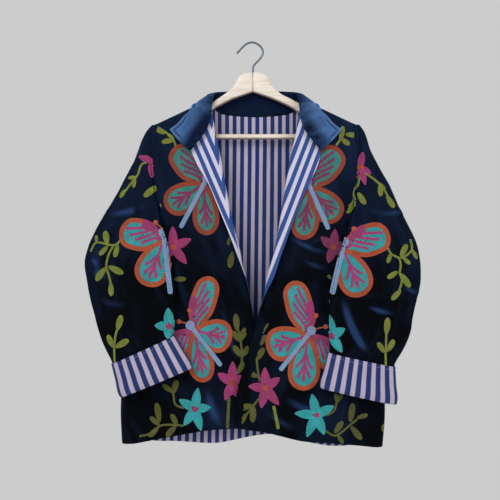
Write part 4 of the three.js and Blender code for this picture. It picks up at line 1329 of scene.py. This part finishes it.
def loops(name, spots, frames, threads, which=None):
    """One mesh with a loop at each spot, turned and sized by its frame"""
    points = np.einsum("kc,ncd->nkd", LOOP, np.array(frames)) + np.array(spots)[:, None]
    faces = LOOP_FACES[None] + len(LOOP) * np.arange(len(spots))[:, None, None]
    return make_piece(name, points.reshape(-1, 3), faces.reshape(-1, 3), threads, (), which)


print("faces in a stitch", len(LOOP_FACES))

# %% [markdown]
# ## Rows of stitches
#
# A sewn shape is filled with rows that follow its outline, one inside the other. `rows_inside` moves the
# outline inward a row at a time and keeps the points that are still that far from it. `along` places
# stitches at an even pitch on a line, and `sample` reads the line there. A sampler collects stitches as
# x, z, direction, yarn and lift. Of two motifs that meet, the later one clears its place first.


# %% Rows of stitches
def run_of(path):
    """How far each point lies along a path"""
    return np.concatenate([[0], np.cumsum(np.linalg.norm(np.diff(path, axis=0), axis=1))])


def sample(path, run, at):
    """The points of a path at the given distances along it"""
    return np.stack([np.interp(at, run, column) for column in path.T], -1)


def along(path, pitch=STITCH["pitch"], reach=0.6):
    path = np.asarray(path, float)
    run = run_of(path)
    count = max(1, round(run[-1] / pitch))
    at = (np.arange(count) + 0.5) * run[-1] / count
    way = sample(path, run, at + reach) - sample(path, run, at - reach)
    return np.concatenate([sample(path, run, at), unit(way)], axis=1)


def rows_inside(outline, rows=99):
    """Stitches in rows inside a closed outline, with the number of each one's row"""
    ring = np.concatenate([outline, outline[:1]])
    turn = np.roll(outline, -1, 0) - np.roll(outline, 1, 0)
    inward = unit(np.stack([-turn[:, 1], turn[:, 0]], -1))
    area = (ring[:-1, 0] * ring[1:, 1] - ring[1:, 0] * ring[:-1, 1]).sum()
    inward = inward * np.sign(area)
    found = []
    for row in range(rows):
        depth = (row + 0.5) * STITCH["row"]
        moved = outline + inward * depth
        gap = np.linalg.norm(moved[:, None] - outline[None], axis=2).min(axis=1)
        keep = gap > depth - 0.3
        if keep.sum() < 3:
            break
        start = int(np.argmin(keep)) if not keep.all() else 0
        moved, keep = np.roll(moved, -start, 0), np.roll(keep, -start)
        if keep.all():
            runs = [np.concatenate([moved, moved[:1]])]
        else:
            cuts = np.flatnonzero(np.diff(keep.astype(int))) + 1
            runs = [run for run, k in zip(np.split(moved, cuts), np.split(keep, cuts)) if k[0] and len(run) > 2]
        for run in runs:
            stitches = along(run)
            found.append(np.column_stack([stitches, np.full(len(stitches), row)]))
    return np.concatenate(found) if found else np.zeros((0, 5))


print("row helpers ready")


# %% Lines and samplers
def curve(points, count=40):
    """A smooth plane curve through a few points"""
    points = [np.array(p, float) for p in points]
    return np.array([catmull(points, i / (count - 1)) for i in range(count)])


class Sampler:
    """The stitches of one panel, gathered before they are laid on its cloth"""

    def __init__(self):
        self.rows = []

    def count(self):
        return sum(len(rows) for rows in self.rows)

    def add(self, stitches, yarn, lift=0.0):
        if len(stitches):
            extra = np.tile([YARNS.index(yarn), lift], (len(stitches), 1))
            self.rows.append(np.column_stack([stitches[:, :4], extra]))

    def clear(self, outline):
        """Leave out what was sewn inside a new outline"""
        x0, z0 = outline[:, 0], outline[:, 1]
        x1, z1 = np.roll(x0, -1), np.roll(z0, -1)
        for k, rows in enumerate(self.rows):
            x, z = rows[:, :1], rows[:, 1:2]
            crossing = (z0 > z) != (z1 > z)
            at = x0 + (z - z0) * (x1 - x0) / np.where(z1 == z0, 1e-9, z1 - z0)
            inside = (crossing & (x < at)).sum(axis=1) % 2 == 1
            self.rows[k] = rows[~inside]


print("samplers ready")

# %% [markdown]
# ## Leaves, stems and flowers
#
# A leaf, a petal and a wing are all one egg: an ellipse that is narrower at its root. A stem is two rows of
# stitches side by side.


# %% Leaves, stems and flowers
def egg(root, angle, length, width, taper=0.6, scallop=0.0, count=160, point=0.0):
    """An egg's outline; taper narrows the root, scallop waves the edge and point sharpens the tip"""
    phi = np.arange(count) * 2 * math.pi / count
    u = (1 - np.cos(phi)) / 2
    profile = np.sin(phi) * (1 - taper + taper * u) * (1 - u) ** point
    profile = profile / np.abs(profile).max() * (1 + scallop * np.cos(5 * phi))
    x, y = length * u, width / 2 * profile
    c, s = math.cos(math.radians(angle)), math.sin(math.radians(angle))
    return np.stack([root[0] + x * c - y * s, root[1] + x * s + y * c], -1)


def filled(sampler, root, angle, length, width, taper, yarn, point=0.0):
    """An egg in rows, with a last row along its middle so that no gap is left there"""
    sampler.add(rows_inside(egg(root, angle, length, width, taper, point=point)), yarn)
    way = np.array([math.cos(math.radians(angle)), math.sin(math.radians(angle))])
    ends = [np.array(root) + way * length * part for part in (0.2, 0.6, 0.93 if point else 0.86)]
    sampler.add(along(ends), yarn, -0.1)


LEAF = {"least": 7.0, "most": 12.5, "share": 0.42}


def leaf(sampler, base, tip, yarn, width=None):
    dx, dz = tip[0] - base[0], tip[1] - base[1]
    length = math.hypot(dx, dz)
    width = width or min(LEAF["most"], max(LEAF["least"], LEAF["share"] * length))
    filled(sampler, base, math.degrees(math.atan2(dz, dx)), length, width, 0.3, yarn)


def leaves(sampler, lines, yarn, width=None):
    for x0, z0, x1, z1 in lines:
        leaf(sampler, (x0, z0), (x1, z1), yarn, width)


def stem(sampler, points, yarn, rows=2):
    line = curve(points)
    side = unit(np.gradient(line, axis=0))
    side = np.stack([-side[:, 1], side[:, 0]], -1)
    for k in range(rows):
        sampler.add(along(line + side * (k - (rows - 1) / 2) * STITCH["row"] * 0.85), yarn)


def disc(sampler, centre, radius, yarn, lift=0.0):
    """A round spot that clears its place, with a short row across its middle"""
    angle = np.arange(48) * 2 * math.pi / 48
    outline = np.array(centre) + radius * np.stack([np.cos(angle), np.sin(angle)], -1)
    sampler.clear(outline)
    sampler.add(rows_inside(outline), yarn, lift)
    middle_row = [np.array(centre) + (shift, 0) for shift in (-radius * 0.4, radius * 0.4)]
    sampler.add(along(middle_row, 2.0), yarn, lift)


PETAL = {"wide": 1.12, "narrow": 0.8, "short": 20, "stretch": 1.04, "taper": 0.3, "point": 0.5}
HEART = {"radius": 5.8, "lift": 0.4}


def flower(sampler, centre, petals, yarn, heart, width=16):
    """Pointed petals, each an angle and a length, round a heart; short ones are narrower too"""
    for angle, length in petals:
        wide = width * PETAL["wide" if length > PETAL["short"] else "narrow"]
        long = length * PETAL["stretch"]
        filled(sampler, centre, angle, long, wide, PETAL["taper"], yarn, PETAL["point"])
    disc(sampler, centre, HEART["radius"], heart, HEART["lift"])


print("flower helpers ready")

# %% [markdown]
# ## Butterflies
#
# A butterfly has a pale blue body, orange feelers and up to four wings. A wing is an egg: its outer rows are
# orange and its middle turquoise, with magenta veins. On an upper wing the front edge near the body is
# filled in magenta, and the veins fan out of that patch. On a lower wing they branch like a twig.


# %% Wings
def near_lines(stitches, lines, gap=2.1):
    """Which stitches lie so near a vein that it covers them"""
    close = np.zeros(len(stitches), bool)
    for line in lines:
        distance = np.linalg.norm(stitches[:, None, :2] - line[None], axis=2).min(axis=1)
        close |= distance < gap
    return close


UPPER_VEINS = [
    [(0.14, -0.04), (0.3, 0.08), (0.48, 0.25)],
    [(0.24, -0.12), (0.42, 0.03), (0.63, 0.19)],
    [(0.36, -0.18), (0.54, -0.05), (0.76, 0.08)],
    [(0.46, -0.24), (0.66, -0.17), (0.87, -0.09)],
]
LOWER_VEINS = [
    [(0.1, 0.0), (0.4, 0.01), (0.84, 0.0)],
    [(0.34, 0.0), (0.48, 0.12), (0.58, 0.25)],
    [(0.34, 0.0), (0.5, -0.12), (0.6, -0.25)],
    [(0.52, 0.0), (0.66, 0.1), (0.77, 0.19)],
    [(0.52, 0.0), (0.66, -0.1), (0.77, -0.19)],
]


# On an upper wing, with u from root to tip and w across: the front edge's patch, its root and the bare root
PATCH = {"edge": -0.1, "lean": -0.2, "end": 0.56, "root": (0.2, 0.05), "bare": (0.14, 0.12)}
LIFT = {"rim": 0.15, "patch": 0.1, "vein": 0.5, "body": 0.5, "head": 0.6}


def wing(sampler, root, kind, angle, length, width, side, yarns, border=4):
    rim, fill, vein = yarns
    upper = kind == "upper"
    shape = egg(root, angle, length, width, 0.4 if upper else 0.5, 0.035 if upper else 0.0, 220)
    stitches = rows_inside(shape)
    sampler.clear(shape)
    c, s = math.cos(math.radians(angle)), math.sin(math.radians(angle))
    dx, dz = stitches[:, 0] - root[0], stitches[:, 1] - root[1]
    u, w = (dx * c + dz * s) / length, (-dx * s + dz * c) / width * side

    def local(a, b):
        x, y = a * length, b * width * side
        return (root[0] + x * c - y * s, root[1] + x * s + y * c)

    patch = np.zeros(len(stitches), bool)
    rimmed = stitches[:, 4] < border
    if upper:
        front = (w < PATCH["edge"] + PATCH["lean"] * u) & (u < PATCH["end"])
        by_root, bare = ((u < PATCH[key][0]) & (w < PATCH[key][1]) for key in ("root", "bare"))
        patch = front | by_root
        rimmed &= ~front & ~bare
    veins = [curve([local(*p) for p in line]) for line in (UPPER_VEINS if upper else LOWER_VEINS)]
    inside = ~rimmed & ~patch
    covered = near_lines(stitches, [line[:-3] for line in veins]) & inside
    sampler.add(stitches[rimmed], rim, LIFT["rim"])
    sampler.add(stitches[patch & ~rimmed], vein, LIFT["patch"])
    sampler.add(stitches[inside & ~covered], fill)
    for line in veins:
        turn = unit(np.gradient(line, axis=0))
        across = np.stack([-turn[:, 1], turn[:, 0]], -1)
        for k in (-1, 0, 1):
            sampler.add(along(line + across * k * STITCH["row"] * 0.75), vein, LIFT["vein"])


print("wing helpers ready")

# %% Butterflies
BRIGHT = ("orange", "turquoise", "magenta")
DEEP = ("rust", "sea", "plum")
BODY = {"root": 0.13, "trunk": 0.85, "head": 9.0, "knob": 4.6}


def butterfly(sampler, head, tail, wings, feelers, yarns=BRIGHT, body=5.2):
    head, tail = np.array(head, float), np.array(tail, float)
    axis = math.degrees(math.atan2(head[1] - tail[1], head[0] - tail[0]))
    root = head + (tail - head) * BODY["root"]
    for kind, turn, length, width in wings:
        side = 1 if turn > 0 else -1
        wing(sampler, root, kind, axis + turn, length, width, side, yarns)
    trunk = capsule(tail, head, body * BODY["trunk"])
    sampler.clear(trunk)
    sampler.add(rows_inside(trunk), "sky", LIFT["body"])
    disc(sampler, head, BODY["head"], "sky", LIFT["head"])
    for knob in feelers:
        knob = np.array(knob, float)
        sampler.add(along([head, (head + knob) / 2 + (1.5, 1.0), knob]), yarns[0], LIFT["head"])
        disc(sampler, knob, BODY["knob"], yarns[0], LIFT["head"])


def capsule(start, end, radius, count=160):
    """A rounded bar from start to end"""
    start, end = np.array(start, float), np.array(end, float)
    turn = unit(end - start)
    side = np.array([-turn[1], turn[0]])
    half = count // 2
    angle = np.linspace(-math.pi / 2, math.pi / 2, half // 2)

    def cap(centre, sign):
        return centre + radius * sign * (np.cos(angle)[:, None] * turn + np.sin(angle)[:, None] * side)

    straight = np.linspace(0, 1, half - half // 2 + 2)[1:-1, None]
    up = end + side * radius + (start - end) * straight
    down = start - side * radius + (end - start) * straight
    points = np.concatenate([cap(end, 1), up, cap(start, -1), down])
    return sample(points, np.arange(len(points)), np.linspace(0, len(points) - 1, count))


print("butterfly helpers ready")

# %% [markdown]
# ## What is sewn where
#
# Each panel has its own list of motifs, in millimetres across and up. The back isn't seen in the picture
# and gets the same kinds of motif in a plain layout, and the rear of each sleeve repeats its front.

# %% Motifs of the right front
samplers = {name: Sampler() for name in ("front_right", "front_left", "sleeve_right", "sleeve_left", "back")}
here = samplers["front_right"]
butterfly(
    here, (-89, -272), (-139, -366),
    [("upper", -66, 90, 60), ("upper", 65, 94, 62), ("lower", -148, 100, 52), ("lower", 151, 88, 60)],
    [(-66, -252)], DEEP,
)
butterfly(
    here, (-122, -560), (-64, -636),
    [("upper", 95, 90, 56), ("upper", -55, 110, 53), ("lower", 154, 104, 52), ("lower", -141, 76, 66)],
    [(-123, -531), (-144, -553)],
)
flower(here, (-155, -407), [(92, 40), (24, 38), (-52, 42), (-118, 22), (165, 24)], "magenta", "orange")
flower(here, (-40, -673), [(88, 42), (145, 34), (32, 26), (248, 36), (288, 28)], "magenta", "rust")
flower(here, (-113, -725), [(82, 42), (8, 32), (-74, 44), (236, 38), (148, 36)], "turquoise", "magenta")
stem(here, [(-30, -655), (-22, -637), (-22, -600), (-29, -564), (-31, -548)], "olive")
RIGHT_LEAVES = [
    (-30, -571, -33, -538), (-25, -592, -39, -571), (-25, -592, -13, -565), (-22, -622, -37, -600),
    (-22, -622, -5, -600), (-29, -655, -17, -632), (-156, -695, -148, -667), (-157, -691, -176, -676),
    (-182, -750, -188, -712), (-147, -757, -159, -734), (-150, -757, -169, -778), (-182, -756, -201, -740),
    (-185, -761, -203, -779), (-154, -470, -130, -470), (-45, -388, -48, -404), (-39, -416, -45, -448),
]
leaves(here, RIGHT_LEAVES, "olive")
stem(here, [(-46, -702), (-49, -761)], "olive", 3)
stem(here, [(-135, -723), (-151, -715), (-156, -692), (-166, -682)], "olive")
stem(here, [(-135, -757), (-161, -755), (-180, -757), (-201, -773), (-222, -778)], "olive")
stem(here, [(-151, -209), (-155, -197), (-171, -181), (-187, -171)], "leaf")
leaves(here, [(-173, -184, -195, -169), (-154, -194, -168, -184), (-153, -196, -179, -201)], "leaf")
print("stitches", here.count())

# %% Motifs of the left front
here = samplers["front_left"]
butterfly(
    here, (107, -278), (147, -369),
    [("upper", 67, 86, 56), ("upper", -61, 96, 62), ("lower", 148, 104, 56), ("lower", -163, 86, 60)],
    [(84, -254)], DEEP,
)
butterfly(
    here, (115, -570), (56, -644),
    [("upper", -96, 92, 56), ("upper", 54, 110, 56), ("lower", -147, 108, 64), ("lower", 146, 84, 68)],
    [(124, -541), (143, -563)],
)
flower(here, (158, -408), [(84, 36), (140, 32), (252, 32), (20, 22), (-40, 22)], "plum", "rust")
flower(here, (25, -681), [(92, 40), (35, 34), (-52, 42), (258, 40), (174, 33)], "magenta", "orange")
flower(here, (125, -736), [(102, 42), (27, 38), (-68, 42), (246, 46), (174, 43)], "turquoise", "magenta", 17)
stem(here, [(14, -668), (9, -637), (9, -600), (17, -579), (30, -556)], "olive")
LEFT_LEAVES = [
    (12, -600, 8, -580), (12, -600, 26, -578), (8, -627, -4, -617), (8, -627, 22, -603), (12, -660, -10, -650),
    (1, -714, -31, -722), (-11, -731, -33, -757), (2, -715, 0, -748), (165, -712, 163, -694),
    (166, -712, 176, -696), (161, -772, 177, -749), (167, -776, 178, -793), (192, -751, 197, -713),
    (205, -743, 226, -736), (193, -759, 214, -785), (257, -773, 259, -757), (154, -470, 147, -462),
    (154, -522, 152, -508),
]
leaves(here, LEFT_LEAVES, "olive")
stem(here, [(12, -702), (-9, -729), (-22, -744)], "olive")
stem(here, [(41, -716), (46, -740), (50, -761)], "leaf", 3)
stem(here, [(145, -737), (159, -729), (165, -712), (167, -696)], "olive")
stem(here, [(143, -768), (161, -777), (174, -771), (192, -756), (206, -745)], "olive")
stem(here, [(164, -208), (174, -194)], "leaf")
leaves(here, [(173, -198, 179, -168), (175, -194, 191, -206), (183, -185, 207, -187)], "leaf", 11)
print("stitches", here.count())

# %% Motifs of the right sleeve
here = samplers["sleeve_right"]
butterfly(
    here, (-172, -379), (-158, -493), [("upper", 71, 88, 64), ("lower", 152, 94, 66)],
    [(-187, -360)], BRIGHT, 5.4,
)
flower(here, (-196, -240), [(158, 30), (-92, 32)], "magenta", "magenta", 13)
flower(here, (-160, -559), [(93, 35), (28, 20), (-95, 24), (176, 27)], "turquoise", "magenta", 16)
stem(here, [(-208, -242), (-217, -246), (-224, -266), (-233, -278), (-258, -311)], "leaf")
stem(here, [(-250, -389), (-263, -403), (-276, -403), (-302, -399), (-312, -416)], "leaf")
stem(here, [(-268, -406), (-276, -422), (-280, -444), (-274, -463), (-271, -478)], "leaf")
stem(here, [(-255, -560), (-260, -570), (-264, -597), (-264, -628)], "leaf")
RIGHT_SLEEVE_LEAVES = [
    (-225, -271, -244, -272), (-229, -274, -232, -292), (-248, -294, -258, -311), (-185, -287, -211, -310),
    (-178, -312, -177, -331), (-279, -404, -285, -376), (-278, -405, -294, -423), (-259, -403, -264, -427),
    (-276, -444, -247, -458), (-281, -446, -300, -472), (-271, -475, -270, -501), (-258, -566, -250, -537),
    (-266, -599, -277, -575), (-262, -599, -236, -584), (-301, -399, -302, -384),
]
leaves(here, RIGHT_SLEEVE_LEAVES, "leaf")
print("stitches", here.count())

# %% Motifs of the left sleeve
here = samplers["sleeve_left"]
butterfly(
    here, (177, -397), (154, -494), [("upper", -59, 94, 64), ("lower", -146, 98, 66)],
    [(195, -372), (174, -378)], BRIGHT, 5.0,
)
flower(here, (211, -251), [(80, 31), (-33, 25), (-77, 37), (243, 33), (120, 15)], "magenta", "orange", 12)
flower(here, (151, -577), [(94, 39), (29, 29), (-58, 37), (200, 9)], "turquoise", "magenta")
stem(here, [(209, -271), (204, -288), (197, -298), (199, -313), (190, -330)], "leaf")
stem(here, [(219, -263), (233, -272), (250, -287), (263, -307), (274, -329)], "leaf")
stem(here, [(258, -408), (266, -421), (280, -429), (283, -443), (281, -457), (285, -470), (280, -490)], "leaf")
stem(here, [(280, -429), (295, -423), (306, -412), (304, -392)], "leaf")
stem(here, [(255, -573), (254, -604), (254, -634)], "leaf")
LEFT_SLEEVE_LEAVES = [
    (199, -318, 185, -341), (204, -301, 218, -325), (249, -283, 249, -309), (261, -307, 275, -331),
    (245, -281, 259, -295), (265, -419, 258, -438), (283, -425, 297, -402), (287, -427, 302, -440),
    (277, -454, 257, -467), (283, -458, 301, -484), (283, -489, 265, -508), (307, -412, 316, -430),
    (255, -575, 258, -542), (252, -609, 238, -589), (257, -607, 270, -584),
]
leaves(here, LEFT_SLEEVE_LEAVES, "leaf")
print("stitches", here.count())

# %% Motifs of the back
here = samplers["back"]
PAIR = [("upper", 54, 104, 58), ("upper", -54, 104, 58), ("lower", 147, 88, 60), ("lower", -147, 88, 60)]
butterfly(here, (-98, -262), (-84, -352), PAIR, [(-112, -238), (-90, -236)])
butterfly(here, (104, -276), (92, -366), PAIR, [(90, -250), (114, -251)])
butterfly(here, (-112, -560), (-98, -648), PAIR, [(-126, -536), (-104, -534)])
butterfly(here, (112, -572), (98, -660), PAIR, [(98, -547), (122, -548)])
STAR = [(90, 40), (18, 38), (-54, 40), (234, 38), (162, 38)]
MAGENTA_STARS = [(2, -455, 16), (186, -742, 16), (-168, -452, 14)]
TURQUOISE_STARS = [(0, -705, 16), (-175, -738, 16), (176, -462, 14)]
for x, z, width in MAGENTA_STARS:
    flower(here, (x, z), STAR, "magenta", "orange", width)
for x, z, width in TURQUOISE_STARS:
    flower(here, (x, z), STAR, "turquoise", "magenta", width)
SPRAYS = [
    (0, -560, 1), (-45, -300, 1), (52, -206, -1), (-214, -610, -1), (214, -620, 1), (-60, -770, 1),
    (70, -772, -1),
]
for x, z, lean in SPRAYS:
    stem(here, [(x, z), (x + 6 * lean, z + 28), (x, z + 56), (x + 4 * lean, z + 76)], "leaf")
    for rise, turn in ((24, 1), (24, -1), (52, 1), (52, -1)):
        leaf(here, (x + 3 * lean, z + rise), (x + 3 * lean + 16 * turn, z + rise + 20), "leaf")
    leaf(here, (x + 4 * lean, z + 70), (x + 5 * lean, z + 100), "leaf")
print("stitches", here.count())

# %% [markdown]
# ## Laying the stitches on the cloth
#
# A ray is shot straight at the cloth at the place of each stitch. Where it lands gives the stitch its
# height and slope, so the rows follow every crease. A stitch that would lie on the steep side of a sleeve
# or miss its panel is left out. The back has the most stitches, so they are laid as two meshes.


# %% Laying the stitches on the cloth
RAY_FROM, STEEP = 400, 0.1


def bvh_of(points, closed):
    if closed:
        points = np.concatenate([points, points[:, :1]], axis=1)
    index = np.arange(points[..., 0].size).reshape(points.shape[:2])
    return BVHTree.FromPolygons([Vector(p) for p in points.reshape(-1, 3)], grid_quads(index).tolist())


def lay(name, rows, surface, facing):
    """Stitch rows on a surface, seen from the front (facing -1) or the back (facing 1)"""
    tree = bvh_of(surface, closed=name.startswith("stitches_sleeve"))
    spots, frames, yarns = [], [], []
    for x, z, dx, dz, yarn, lift in rows:
        hit, normal, _, _ = tree.ray_cast(Vector((x, facing * RAY_FROM, z)), Vector((0, -facing, 0)))
        if hit is None or abs(normal.y) < STEEP:
            continue
        normal = normal if normal.y * facing > 0 else -normal
        run = Vector((dx, 0, dz))
        run = (run - normal * run.dot(normal)).normalized()
        frames.append((run * STITCH["length"], normal.cross(run) * STITCH["width"], normal * STITCH["height"]))
        spots.append(hit + normal * lift)
        yarns.append(int(yarn))
    used = sorted(set(yarns))
    which = np.repeat([used.index(y) for y in yarns], len(LOOP_FACES))
    piece = loops(name, spots, frames, [THREADS[YARNS[y]] for y in used], which)
    piece.data.polygons.foreach_set("use_smooth", np.ones(len(piece.data.polygons), bool))
    print(name, "stitches", len(spots), "of", len(rows), "triangles", len(spots) * len(LOOP_FACES))


sewn = {name: np.concatenate(sampler.rows) for name, sampler in samplers.items()}
lay("stitches_front_right", sewn["front_right"], surfaces["front_right"], -1)
lay("stitches_front_left", sewn["front_left"], surfaces["front_left"], -1)
lay("stitches_back_right", sewn["back"][sewn["back"][:, 0] < 0], surfaces["back"], 1)
lay("stitches_back_left", sewn["back"][sewn["back"][:, 0] >= 0], surfaces["back"], 1)
for name in ("right", "left"):
    part = "sleeve_" + name
    lay("stitches_" + part, sewn[part], surfaces[part], -1)
    lay("stitches_" + part + "_rear", sewn[part], surfaces[part], 1)

# %% [markdown]
# ## Topstitching
#
# A line of small stitches runs near the edges of the collar and near the upper edge of each cuff. A
# stitch here is the same loop made short and low, laid along a row or column of the cloth's own grid.


# %% Topstitching
TOPSTITCH = {"length": 2.4, "width": 0.8, "height": 0.45, "pitch": 3.2}


def topstitch(name, lines, yarn):
    """Small stitches along lines of the cloth, each given with its normals"""
    frames, spots = [], []
    for line, normals in lines:
        run, pitch = run_of(line), TOPSTITCH["pitch"]
        at = np.arange(pitch / 2, run[-1] - pitch / 2, pitch)
        here, up = sample(line, run, at), unit(sample(normals, run, at))
        way = unit(sample(line, run, at + 1) - here)
        sizes = (TOPSTITCH["length"], TOPSTITCH["width"], TOPSTITCH["height"])
        frames.append(np.stack([v * s for v, s in zip((way, np.cross(up, way), up), sizes)], 1))
        spots.append(here)
    loops(name, np.concatenate(spots), np.concatenate(frames), [THREADS[yarn]])
    print(name, sum(len(s) for s in spots))


outer = surfaces["collar"]
outer_normals = grid_normals(outer)
middle_row, middle_column = (size // 2 for size in outer.shape[:2])
inset = int(np.argmin(np.abs(from_edge[middle_row] - GROOVE["inset"])))
ends = int(np.argmin(np.abs(u[:, -1] - GROOVE["inset"])))
runs = [(slice(ends, -ends), inset)]
runs += [(row, slice(middle_column, inset)) for row in (ends, outer.shape[0] - 1 - ends)]
topstitch("collar_topstitching", [(outer[run], outer_normals[run]) for run in runs], "navy")
CUFF_ROW = 2
for name, side, *_ in SIDES:
    outer = surfaces["cuff_" + name]
    up = grid_normals(outer, closed=True, flip=-side)
    ring = [np.concatenate([line[CUFF_ROW], line[CUFF_ROW][:1]]) for line in (outer, up)]
    topstitch("cuff_" + name + "_topstitching", [ring], "sky")

# %% Finish
size = {
    "cad": [list(corner) for corner in cad_box],
    "scene": [list(corner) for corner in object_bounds()],
}
print(size)
